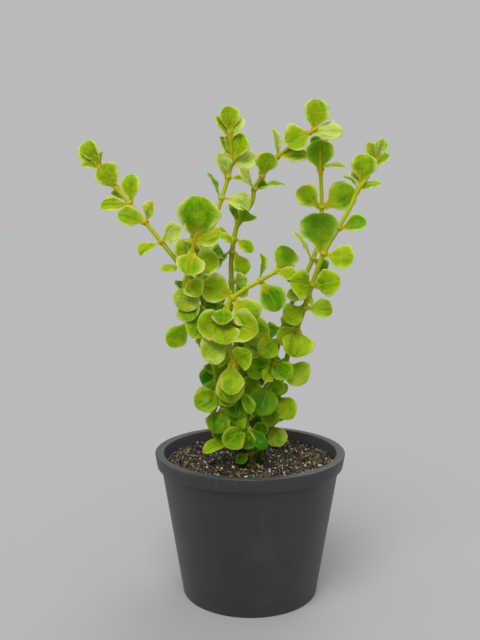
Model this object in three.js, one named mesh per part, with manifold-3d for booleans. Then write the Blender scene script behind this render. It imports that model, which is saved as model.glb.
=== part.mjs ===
// A potted bunch of green rotala rotundifolia: seven leafy stems in a round pot of dark gravel.
//
// Millimetres, +Z up, +X to the viewer's right and +Y away from the viewer. The origin is the
// centre of the pot's flat underside. The stems fan out mostly left and right of the pot's axis.
import * as THREE from 'three';
import { mergeVertices } from 'three/addons/utils/BufferGeometryUtils.js';
import Module from 'manifold-3d';

const wasm = await Module();
wasm.setup();

// Driving dimensions of the pot and the gravel
const POT_HEIGHT = 50;
const POT_TOP_RADIUS = 33;
const POT_FOOT_RADIUS = 23.5;
const POT_WALL = 1.6;
const POT_FLOOR = 2;
const POT_SIDES = 20;
const RIM_HEIGHT = 5;
const RIM_LIP = 1.4;
const EDGE_BEVEL = 0.6;
const DRAIN_RADIUS = 1.8;
const DRAIN_RING = 12;
const DRAIN_HOLES = 4;
const DRAIN_SIDES = 6;
const GRAVEL_TOP = 46.5;
const GRAVEL_LUMP = 0.7;
const GRAVEL_RING = 16;

// Driving dimensions of the plant
const STEM_FOOT_RADIUS = 1.05;
const STEM_TIP_RADIUS = 0.6;
const STEM_SIDES = 5;
const COLLAR_WALL = 0.9;
const COLLAR_HEIGHT = 1.6;
const BLADE_THICKNESS = 0.7;
const BLADE_BREADTH = 0.9;
const BLADE_ARCH = 24;
const BLADE_CUP = 0.1;
const BLADE_SIDES = 4;
const BLADE_RINGS = 4;
const STALK_SHARE = 0.1;
const STALK_WIDTH = 0.16;
const GAP = 0.3;

// Each shoot is a route and its leaves.
//
// route: points [x, y, height above the gravel] from the buried foot to the growing tip.
// pairs: [height above the gravel, leaf, leaf], from the lowest pair up.
// tip: [height above the gravel, leaf], the young leaves that grow as one with the stem's end.
//
// A leaf is [clock, lean, facing, length, breadth]. Clock is where its tip points as seen from the
// front, in degrees, with 0 to the right and 90 up. Lean is how far it leans to the front (away if
// negative). Facing is how far its upper side is turned to the front: 90 shows the whole upper
// side, 0 shows the edge and -90 shows the whole underside. Length is in millimetres. Breadth is a
// share of the length, and is left out on a leaf of the usual round form.
const SHOOTS = {
  far_left: {
    route: [
      [-3.5, -5, -12], [-3.5, -5, 0], [-5.5, -6, 9], [-8.5, -7, 18], [-11, -8, 28], [-12.5, -9, 38],
      [-14.5, -9.5, 50], [-17, -9, 60.5], [-23, -8, 68], [-29.5, -6, 76], [-35, -4, 82.5],
      [-41.5, -2, 90], [-46, 0, 95], [-51.5, 1, 101.5], [-53.5, 1, 104.5],
    ],
    pairs: [
      [8.5, [197, 15, 35, 10.5, 0.5], [140, -50, 50, 6]],
      [20, [250, 35, 80, 8.6, 1], [100, -50, 60, 7]],
      [25.5, [203, 38, 80, 9.3, 0.95], [330, 50, 70, 7.5]],
      [51, [240, 45, 80, 9.5], [60, -45, 60, 8]],
      [61.5, [236, 35, 80, 10, 0.9], [-20, -30, 40, 8]],
      [68.5, [197, 40, 40, 6.5, 0.9], [45, 35, -80, 9.5, 0.9]],
      [76, [32, 25, 65, 8.5, 0.9], [205, 20, 30, 8, 0.8]],
      [82.5, [160, 12, 60, 9, 0.8], [70, 20, 45, 7, 0.8]],
      [88.5, [90, 0, 65, 9.3, 0.8], [180, 5, 60, 9.3, 0.6]],
    ],
    tip: [
      [93.5, [124, 2, 82, 9.8, 0.9]], [94, [280, -50, 60, 6]], [99.5, [84, 10, 20, 6.5, 0.6]],
      [100, [166, 15, 30, 6.5, 0.6]], [100.5, [116, 0, 78, 10.2, 0.75]],
      [102, [140, 0, 40, 6, 0.7]],
    ],
  },
  mid_left: {
    route: [
      [-3.5, 2, -12], [-3.5, 2, 0], [-5, 2, 8], [-7.5, 1.5, 19], [-11.5, 0.5, 31], [-16, -1.5, 40],
      [-20.5, -5, 49], [-22, -10, 59.5], [-19.5, -14, 70], [-17.5, -16, 79],
    ],
    pairs: [
      [13, [288, 40, 80, 9, 0.9], [160, -50, 50, 7]],
      [29, [290, -20, 70, 8.5, 0.9], [130, -40, 60, 7]],
      [39.5, [352, 40, 75, 11, 0.9], [100, -40, 50, 6]],
      [49, [233, 5, 85, 9.8, 0.75], [60, -50, 60, 7]],
      [58, [294, 35, 85, 9, 0.9], [110, -30, 40, 6]],
      [67.5, [94, -8, 76, 9.8, 0.9], [20, 12, 72, 10, 0.9]],
    ],
    tip: [
      [77, [84, 15, 85, 14.5, 0.92]], [76, [20, 22, 70, 10, 0.8]], [78.5, [120, 20, 60, 6]],
    ],
  },
  upper_left: {
    route: [
      [-1, 6, -12], [-1.5, 6, 0], [-3.5, 6, 10], [-5.5, 6, 20], [-8.5, 5, 31], [-13, 3.5, 47],
      [-15, 2, 59.5], [-14.5, 1, 71.5], [-13, 1, 79], [-10.5, 2, 88], [-7.5, 3, 97.5],
      [-6.5, 3, 103.5], [-7, 2, 112.5],
    ],
    pairs: [
      [18, [140, -40, 60, 8], [330, -40, 70, 8]],
      [33, [231, 5, 75, 9.5, 0.95], [20, -30, 60, 8]],
      [48, [190, -25, 60, 8], [-10, -30, 60, 9.5]],
      [60, [150, -40, 60, 8], [-46, 30, 72, 8, 0.9]],
      [71, [250, 35, 80, 9, 0.9], [10, -40, 50, 7]],
      [79, [232, 40, 80, 9.5, 0.9], [-25, 20, 40, 7.5, 0.6]],
      [90.5, [117, 0, 22, 10, 0.6], [-20, 10, 45, 9.5, 0.8]],
      [97.5, [108, 10, 60, 8.5, 0.65], [-12, -20, 30, 7, 0.6]],
    ],
    tip: [
      [102, [112, 0, 35, 10, 0.5]], [103, [70, 3, 80, 10, 0.9]], [101.5, [24, -15, 60, 9.8, 0.9]],
      [110.5, [122, 0, 60, 8.6, 0.62]], [112, [96, 0, 70, 9, 0.8]], [110, [62, -5, 65, 8.6, 0.62]],
    ],
  },
  middle: {
    route: [
      [0, 0, -12], [0, 0, 0], [-1, 1, 14], [-3.5, 2, 31.5], [-5.5, 3, 49], [-6.5, 4, 64.5],
      [-6, 4, 74], [-4, 4, 82.5], [0.5, 4, 89], [1.5, 3, 94], [4, 1, 98], [9.5, -1, 104.5],
      [15, -2, 108.5], [21.5, -3, 113],
    ],
    pairs: [
      [34, [-8, 30, 75, 11, 0.9], [200, 40, 70, 8.5]],
      [44, [8, 32, 78, 12.5, 0.9], [185, 30, 70, 8]],
      [56.5, [45, 20, 70, 6, 0.9], [160, -30, 40, 7]],
      [72, [-68, 10, 60, 8.5, 0.8], [232, 0, 40, 7.5, 0.6]],
      [76.5, [155, -5, 30, 7, 0.7], [-38, 10, 60, 7, 0.75]],
      [82.5, [40, 45, -70, 8, 0.9], [100, -20, 60, 7, 0.9]],
      [94, [126, 25, 45, 8.5, 0.6], [8, 0, 25, 10, 0.55]],
      [98, [65, 25, 75, 8.6, 0.9], [240, -40, 50, 7]],
    ],
    tip: [
      [104, [101, 0, 45, 9.5, 0.45]], [104.5, [3, 10, 45, 9.8, 0.7]],
      [111.6, [204, 18, 75, 9.4, 1]], [112.5, [87, 0, 80, 10.2, 0.85]],
      [112, [0, 5, 60, 10.6, 0.7]],
    ],
  },
  short_right: {
    route: [
      [0.5, -7, -12], [0.5, -7, 0], [-1.5, -9, 16.5], [-5, -11, 34], [-7.5, -12, 45.5],
      [-7.5, -12, 55.5], [-3, -11, 60], [2.5, -9, 63], [9, -6, 66.5], [11, -5, 67.5],
    ],
    pairs: [
      [13.5, [203, 38, 75, 10.3, 0.75], [-50, 20, 70, 8.5, 0.6]],
      [26, [264, 5, 85, 8.5, 0.95], [-65, 20, 70, 8, 0.5]],
      [36.5, [266, 20, 86, 14, 0.66], [38, 50, 80, 9, 0.9]],
      [49, [171, 32, 78, 10.3, 0.95], [-8, 38, 80, 11.5, 0.95]],
      [57.5, [161, 3, 80, 10, 0.98], [-46, 22, 80, 10.8, 0.95]],
      [63.4, [86, 0, 30, 8.4, 0.5], [-58, 15, 80, 11, 0.8]],
    ],
    tip: [
      [66.5, [65, 15, -80, 9.5, 0.9]], [66.2, [-20, 20, 50, 7.5, 0.8]], [67, [30, -20, 50, 6]],
    ],
  },
  inner_right: {
    route: [
      [3.5, -3, -12], [3.5, -3, 0], [4.5, -2, 14.5], [7.5, -1, 32], [11, -1, 46], [15.5, 0, 58],
      [21, 2, 69], [24, 4, 78], [24.5, 5, 88.5], [24, 5, 99.5], [23.5, 4, 106.5],
    ],
    pairs: [
      [26.5, [250, 35, 85, 11.5, 0.9], [60, -40, 60, 7]],
      [34, [-35, 40, 80, 8, 0.9], [150, -40, 60, 7]],
      [46, [200, -40, 60, 7.5], [50, -40, 60, 7]],
      [58, [70, 15, 75, 6, 0.8], [-10, -40, 60, 7]],
      [70, [125, 0, 30, 11.5, 0.42], [-50, -30, 60, 7]],
      [87.5, [140, 5, 75, 10, 0.85], [30, 5, 75, 12, 0.9]],
    ],
    tip: [
      [99.5, [97, 15, -85, 11, 0.9]], [101, [-4, 20, 28, 9, 0.6]], [105.5, [75, -20, 60, 6]],
      [106, [115, -10, -60, 6]],
    ],
  },
  far_right: {
    route: [
      [4.5, 4, -12], [4.5, 4, 0], [6.5, 5, 11], [11, 4, 27.5], [14, 1, 40.5], [17.5, -2, 51],
      [19.5, -4, 58], [24, -6, 71.5], [29, -6, 80.5], [33, -5, 87.5], [35.5, -4, 93],
      [38.5, -3, 97], [42.5, -2, 104],
    ],
    pairs: [
      [11.5, [-60, 30, 80, 8.5, 0.85], [170, -40, 50, 7]],
      [21.5, [-52, 42, 80, 9.5, 0.9], [60, -10, 85, 5.4, 0.65]],
      [33, [-40, 35, 78, 9.4, 1], [200, -40, 50, 7]],
      [46, [-96, 32, 80, 10, 1.1], [222, 30, 78, 8, 0.95]],
      [54, [-4, 15, 65, 8.8, 0.75], [212, 30, 78, 8.5, 0.9]],
      [62, [20, 35, 80, 9.8, 0.9], [168, 45, 85, 9.8, 1]],
      [72, [98, 15, -85, 14.5, 0.88], [-12, 28, 65, 9.8, 0.9]],
      [80.5, [19, 12, 55, 9, 0.68], [210, -40, 50, 7]],
    ],
    tip: [
      [92.5, [16, 0, 20, 8.5, 0.55]], [93.5, [143, 0, 20, 7.5, 0.6]],
      [95.3, [91, 3, 82, 9.8, 0.95]], [94.5, [126, -10, 60, 6, 0.8]], [102.5, [74, 5, 75, 8, 0.62]],
      [101, [38, 0, 50, 6.5, 0.6]], [102.5, [116, 10, 70, 7, 0.62]],
    ],
  },
};

const RAD = Math.PI / 180;
const FRONT = new THREE.Vector3(0, -1, 0);

// A finish is the colour, roughness and metalness of one kind of surface
const FINISHES = {
  pot: { color: 0x2f3231, roughness: 0.6, metalness: 0 },
  gravel: { color: 0x3a352c, roughness: 0.9, metalness: 0 },
  stem: { color: 0x8a9a2a, roughness: 0.55, metalness: 0 },
  leaf: { color: 0x84b01c, roughness: 0.5, metalness: 0 },
};

// A closed geometry as a solid that can be joined and cut
function solidFrom(geometry) {
  const bare = geometry.clone();
  bare.deleteAttribute('normal');
  bare.deleteAttribute('uv');
  const merged = mergeVertices(bare, 1e-4);
  const index = merged.index.array;
  const triangles = [];
  for (let i = 0; i < index.length; i += 3) {
    const [a, b, c] = [index[i], index[i + 1], index[i + 2]];
    if (a !== b && b !== c && c !== a) triangles.push(a, b, c);
  }
  const mesh = new wasm.Mesh({
    numProp: 3,
    vertProperties: new Float32Array(merged.attributes.position.array),
    triVerts: new Uint32Array(triangles),
  });
  return new wasm.Manifold(mesh);
}

// A solid as a geometry with flat-shaded faces
function geometryFrom(solid) {
  const mesh = solid.getMesh();
  const geometry = new THREE.BufferGeometry();
  geometry.setAttribute('position', new THREE.BufferAttribute(new Float32Array(mesh.vertProperties), 3));
  geometry.setIndex(new THREE.BufferAttribute(new Uint32Array(mesh.triVerts), 1));
  geometry.computeVertexNormals();
  return geometry;
}

// The largest single body of a solid, without the crumbs that a cut leaves
function mainBody(solid) {
  const bodies = solid.decompose();
  bodies.sort((a, b) => b.volume() - a.volume());
  return bodies[0];
}

// Moves every vertex of a geometry by a function of its old place
function reshape(geometry, place) {
  const position = geometry.attributes.position;
  const vertex = new THREE.Vector3();
  for (let i = 0; i < position.count; i += 1) {
    vertex.fromBufferAttribute(position, i);
    const moved = place(vertex);
    position.setXYZ(i, moved.x, moved.y, moved.z);
  }
  return geometry;
}

function routePoint([x, y, height]) {
  return new THREE.Vector3(x, y, GRAVEL_TOP + height);
}

// The place, direction and radius of a stem at a height above the gravel
function stemAt(route, height) {
  const points = route.map(routePoint);
  const z = GRAVEL_TOP + height;
  let span = 0;
  while (span < points.length - 2 && points[span + 1].z < z) span += 1;
  const from = points[span];
  const to = points[span + 1];
  const share = (z - from.z) / (to.z - from.z);
  const along = (span + share) / (points.length - 1);
  return {
    place: from.clone().lerp(to, share),
    direction: to.clone().sub(from).normalize(),
    radius: THREE.MathUtils.lerp(STEM_FOOT_RADIUS, STEM_TIP_RADIUS, along),
  };
}

// Two directions square to a stem, the first one level with the front of the pot
function acrossStem(direction) {
  const first = new THREE.Vector3(0, 1, 0).cross(direction).normalize();
  const second = direction.clone().cross(first);
  return [first, second];
}

// A tapered stem: a cylinder with a ring of vertices at each point of the route, bent along it
function stemGeometry(route, grow = 0) {
  const points = route.map(routePoint);
  const spans = points.length - 1;
  const top = STEM_TIP_RADIUS + grow;
  const foot = STEM_FOOT_RADIUS + grow;
  const straight = new THREE.CylinderGeometry(top, foot, spans, STEM_SIDES, spans);
  return reshape(straight, (vertex) => {
    const ring = Math.round(vertex.y + spans / 2);
    const before = points[Math.max(ring - 1, 0)];
    const after = points[Math.min(ring + 1, spans)];
    const direction = after.clone().sub(before).normalize();
    const [first, second] = acrossStem(direction);
    const end = ring === 0 ? -grow : ring === spans ? grow : 0;
    return points[ring].clone()
      .addScaledVector(direction, end)
      .addScaledVector(first, vertex.z)
      .addScaledVector(second, vertex.x);
  });
}

// Half the blade's breadth at a share of its length, as a share of half its greatest breadth
function outline(along) {
  const blade = Math.max(0, (along - STALK_SHARE) / (1 - STALK_SHARE));
  const round = Math.sin(Math.PI * blade ** 1.06) ** 0.62;
  return Math.max(round, STALK_WIDTH * Math.min(1, (1 - along) * 8));
}

// The directions along a leaf, across it and out of its upper side
function leafFrame([clock, lean, facing], stemDirection) {
  const along = new THREE.Vector3(
    Math.cos(lean * RAD) * Math.cos(clock * RAD),
    -Math.sin(lean * RAD),
    Math.cos(lean * RAD) * Math.sin(clock * RAD),
  );
  const toFront = FRONT.clone().addScaledVector(along, -FRONT.dot(along)).normalize();
  const toTip = along.clone().cross(toFront);
  if (toTip.dot(stemDirection) < 0) toTip.negate();
  const upper = toTip.multiplyScalar(Math.cos(facing * RAD))
    .addScaledVector(toFront, Math.sin(facing * RAD));
  const across = along.clone().cross(upper);
  return { along, across, upper };
}

// One leaf: a ball of few sides and rings, pressed into an arched blade with a thin rim. A leaf
// that is grown for a cut grows more across than along, because its rim slopes.
function leafGeometry(leaf, foot, stemDirection, grow = 0) {
  const { along, across, upper } = leafFrame(leaf, stemDirection);
  const [, , , bladeLength, breadthShare = BLADE_BREADTH] = leaf;
  const length = bladeLength + 2 * grow;
  const halfWidth = bladeLength * breadthShare / 2 + 1.6 * grow;
  const halfThickness = BLADE_THICKNESS / 2 + grow;
  const arch = BLADE_ARCH * RAD;
  const ball = new THREE.SphereGeometry(1, BLADE_SIDES, BLADE_RINGS);
  return reshape(ball, (vertex) => {
    const share = (1 + vertex.y) / 2;
    const ring = Math.sqrt(Math.max(0, 1 - vertex.y ** 2));
    const side = ring > 1e-6 ? vertex.x / ring : 0;
    const through = ring > 1e-6 ? vertex.z / ring : 0;
    const heading = arch * (0.5 - share);
    const forward = length / arch * (Math.sin(arch / 2) - Math.sin(heading));
    const hump = length / arch * (Math.cos(heading) - Math.cos(arch / 2));
    const breadth = outline(share);
    const out = BLADE_CUP * halfWidth * Math.abs(side) * breadth ** 2 + through * halfThickness * ring;
    return foot.clone()
      .addScaledVector(along, forward - grow - out * Math.sin(heading))
      .addScaledVector(upper, hump + out * Math.cos(heading))
      .addScaledVector(across, side * halfWidth * breadth);
  });
}

function leafSolid(leaf, foot, stemDirection, grow) {
  return solidFrom(leafGeometry(leaf, foot, stemDirection, grow));
}

// The swollen joint that the two leaves of a pair share: a ring, thickest half way up
function collarSolid(at, grow) {
  const inner = (at.radius + GAP - grow) / Math.cos(Math.PI / STEM_SIDES);
  const half = COLLAR_HEIGHT / 2 + grow;
  const profile = [[inner, -half], [inner + COLLAR_WALL + 2 * grow, 0], [inner, half], [inner, -half]];
  const ring = new THREE.LatheGeometry(profile.map(([r, y]) => new THREE.Vector2(r, y)), STEM_SIDES);
  const [first, second] = acrossStem(at.direction);
  return solidFrom(reshape(ring, (vertex) => at.place.clone()
    .addScaledVector(at.direction, vertex.y)
    .addScaledVector(first, vertex.z)
    .addScaledVector(second, vertex.x)));
}

// A leaf's foot lies in the collar's wall, on the side that the leaf points to
function leafFoot(at, leaf) {
  const { along } = leafFrame(leaf, at.direction);
  const outward = along.clone().addScaledVector(at.direction, -along.dot(at.direction));
  outward.normalize();
  return at.place.clone().addScaledVector(outward, at.radius + GAP + COLLAR_WALL / 3);
}

// A pair of leaves and its collar, not yet trimmed
function pairSolid(route, [height, ...leaves], grow = 0) {
  const at = stemAt(route, height);
  let solid = collarSolid(at, grow);
  for (const leaf of leaves) {
    solid = solid.add(leafSolid(leaf, leafFoot(at, leaf), at.direction, grow));
  }
  return solid;
}

// A stem with the young leaves of its growing tip
function stemSolid(shoot, grow = 0) {
  let solid = solidFrom(stemGeometry(shoot.route, grow));
  for (const [height, leaf] of shoot.tip) {
    const at = stemAt(shoot.route, height);
    solid = solid.add(leafSolid(leaf, at.place, at.direction, grow));
  }
  return solid;
}

// Whether the boxes round two solids overlap
function near(one, other) {
  const a = one.boundingBox();
  const b = other.boundingBox();
  return [0, 1, 2].every((axis) => a.min[axis] < b.max[axis] && b.min[axis] < a.max[axis]);
}

// A solid with a gap cut round everything in the list that it touches
function trimmed(solid, others) {
  let left = solid;
  for (const other of others) {
    if (near(left, other)) left = left.subtract(other);
  }
  return mainBody(left);
}

// The radius of the pot's outside under its rim, at a height
function outerAt(z) {
  return POT_FOOT_RADIUS + (POT_TOP_RADIUS - RIM_LIP - POT_FOOT_RADIUS) * z / POT_HEIGHT;
}

// The pot, turned from a profile that runs from the middle of its underside, up the outside and
// down the inside, with its drain holes
function potSolid() {
  const rimFoot = POT_HEIGHT - RIM_HEIGHT;
  const profile = [
    [0, 0],
    [POT_FOOT_RADIUS, 0],
    [outerAt(rimFoot), rimFoot],
    [outerAt(rimFoot) + RIM_LIP, rimFoot + EDGE_BEVEL],
    [POT_TOP_RADIUS, POT_HEIGHT - EDGE_BEVEL],
    [POT_TOP_RADIUS - EDGE_BEVEL, POT_HEIGHT],
    [outerAt(POT_HEIGHT) - POT_WALL + EDGE_BEVEL / 2, POT_HEIGHT],
    [outerAt(POT_HEIGHT - EDGE_BEVEL) - POT_WALL, POT_HEIGHT - EDGE_BEVEL],
    [outerAt(POT_FLOOR) - POT_WALL, POT_FLOOR],
    [0, POT_FLOOR],
  ];
  const lathe = new THREE.LatheGeometry(profile.map(([r, z]) => new THREE.Vector2(r, z)), POT_SIDES);
  lathe.rotateX(Math.PI / 2);
  let solid = solidFrom(lathe);
  for (let hole = 0; hole < DRAIN_HOLES; hole += 1) {
    const turn = (hole + 0.5) / DRAIN_HOLES * 2 * Math.PI;
    const drill = new THREE.CylinderGeometry(DRAIN_RADIUS, DRAIN_RADIUS, POT_FLOOR * 3, DRAIN_SIDES);
    drill.rotateX(Math.PI / 2);
    drill.translate(DRAIN_RING * Math.cos(turn), DRAIN_RING * Math.sin(turn), POT_FLOOR / 2);
    solid = solid.subtract(solidFrom(drill));
  }
  return solid;
}

// How far the gravel's surface stands above its mean level
function lump(x, y) {
  return GRAVEL_LUMP * (0.5 * Math.sin(0.31 * x + 1.1) * Math.cos(0.27 * y - 0.6)
    + 0.3 * Math.sin(0.63 * x - 0.5 * y + 2) + 0.2 * Math.cos(0.9 * y + 0.7 * x));
}

// The bed of gravel: it fills the pot to just under its rim, and its top is uneven
function gravelSolid(grow = 0) {
  const floor = POT_FLOOR + GAP;
  const top = GRAVEL_TOP + grow;
  const profile = [
    [0, floor],
    [outerAt(floor) - POT_WALL - GAP, floor],
    [outerAt(GRAVEL_TOP) - POT_WALL - GAP, top],
    [GRAVEL_RING, top],
    [0, top],
  ];
  const lathe = new THREE.LatheGeometry(profile.map(([r, z]) => new THREE.Vector2(r, z)), POT_SIDES);
  lathe.rotateX(Math.PI / 2);
  return solidFrom(reshape(lathe, (vertex) => {
    if (vertex.z > top - 0.01) vertex.z += lump(vertex.x, vertex.y);
    return vertex;
  }));
}

function meshOf(name, solid, finish) {
  const mesh = new THREE.Mesh(geometryFrom(solid), new THREE.MeshStandardMaterial(FINISHES[finish]));
  mesh.name = name;
  return mesh;
}

// The stems come first, then the gravel round them, then the pairs in the room that is left
function assemble() {
  const group = new THREE.Group();
  const names = Object.keys(SHOOTS);
  const taken = [];
  for (const name of names) {
    group.add(meshOf(`${name}_stem`, trimmed(stemSolid(SHOOTS[name]), taken), 'stem'));
    taken.push(stemSolid(SHOOTS[name], GAP));
  }
  group.add(meshOf('pot', potSolid(), 'pot'));
  group.add(meshOf('gravel', trimmed(gravelSolid(), taken), 'gravel'));
  taken.push(gravelSolid(GAP));
  for (const name of names) {
    const { route, pairs } = SHOOTS[name];
    pairs.forEach((pair, order) => {
      const solid = trimmed(pairSolid(route, pair), taken);
      group.add(meshOf(`${name}_leaf_pair_${order + 1}`, solid, 'leaf'));
      taken.push(pairSolid(route, pair, GAP));
    });
  }
  return group;
}

export default assemble();
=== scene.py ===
"""A potted bunch of green rotala rotundifolia, laid out as a Blender add-on and run as a script.

Metres, +Z up, +X to the viewer's right and +Y away from the viewer. The origin is the centre of
the pot's flat underside. The growth tables hold millimetres and degrees, as the part's source does.
"""
import math
import random
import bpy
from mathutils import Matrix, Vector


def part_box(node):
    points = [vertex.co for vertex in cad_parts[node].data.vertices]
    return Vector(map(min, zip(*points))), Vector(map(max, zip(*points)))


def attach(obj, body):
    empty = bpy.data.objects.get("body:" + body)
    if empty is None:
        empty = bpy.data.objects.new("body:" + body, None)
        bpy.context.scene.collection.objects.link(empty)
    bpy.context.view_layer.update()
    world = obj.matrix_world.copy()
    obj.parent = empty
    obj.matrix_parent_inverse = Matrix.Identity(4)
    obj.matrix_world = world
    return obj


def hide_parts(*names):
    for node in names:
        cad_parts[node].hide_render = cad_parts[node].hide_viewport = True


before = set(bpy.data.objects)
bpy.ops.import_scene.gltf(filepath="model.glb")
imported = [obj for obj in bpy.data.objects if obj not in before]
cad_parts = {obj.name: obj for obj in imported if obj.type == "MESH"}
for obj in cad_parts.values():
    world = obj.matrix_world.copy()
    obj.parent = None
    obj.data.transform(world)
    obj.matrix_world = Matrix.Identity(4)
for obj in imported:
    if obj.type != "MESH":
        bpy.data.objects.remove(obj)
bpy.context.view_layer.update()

from types import SimpleNamespace

import bmesh
import bpy
import numpy
from mathutils import Matrix, Vector

bl_info = {
    "name": "Potted rotala rotundifolia",
    "version": (1, 0, 0),
    "blender": (4, 5, 0),
    "location": "View3D > Sidebar > Rotala",
    "description": "Builds a bunch of leafy green stems in a pot of dark gravel",
    "category": "Object",
}

MM = 0.001
FULL_TURN = 2 * math.pi
BODY = "root"
FRONT = Vector((0.0, -1.0, 0.0))
BACK = -FRONT
POT_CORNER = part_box("pot")[1]

# Points of a leaf or stem that are merged, its edges that are dissolved, and how far off a turned
# point may lie from its place in the profile.
MERGE_REACH = 0.002 * MM
SHORTEST_EDGE = 0.0005 * MM
TOLERANCE = 0.01 * MM

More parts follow.
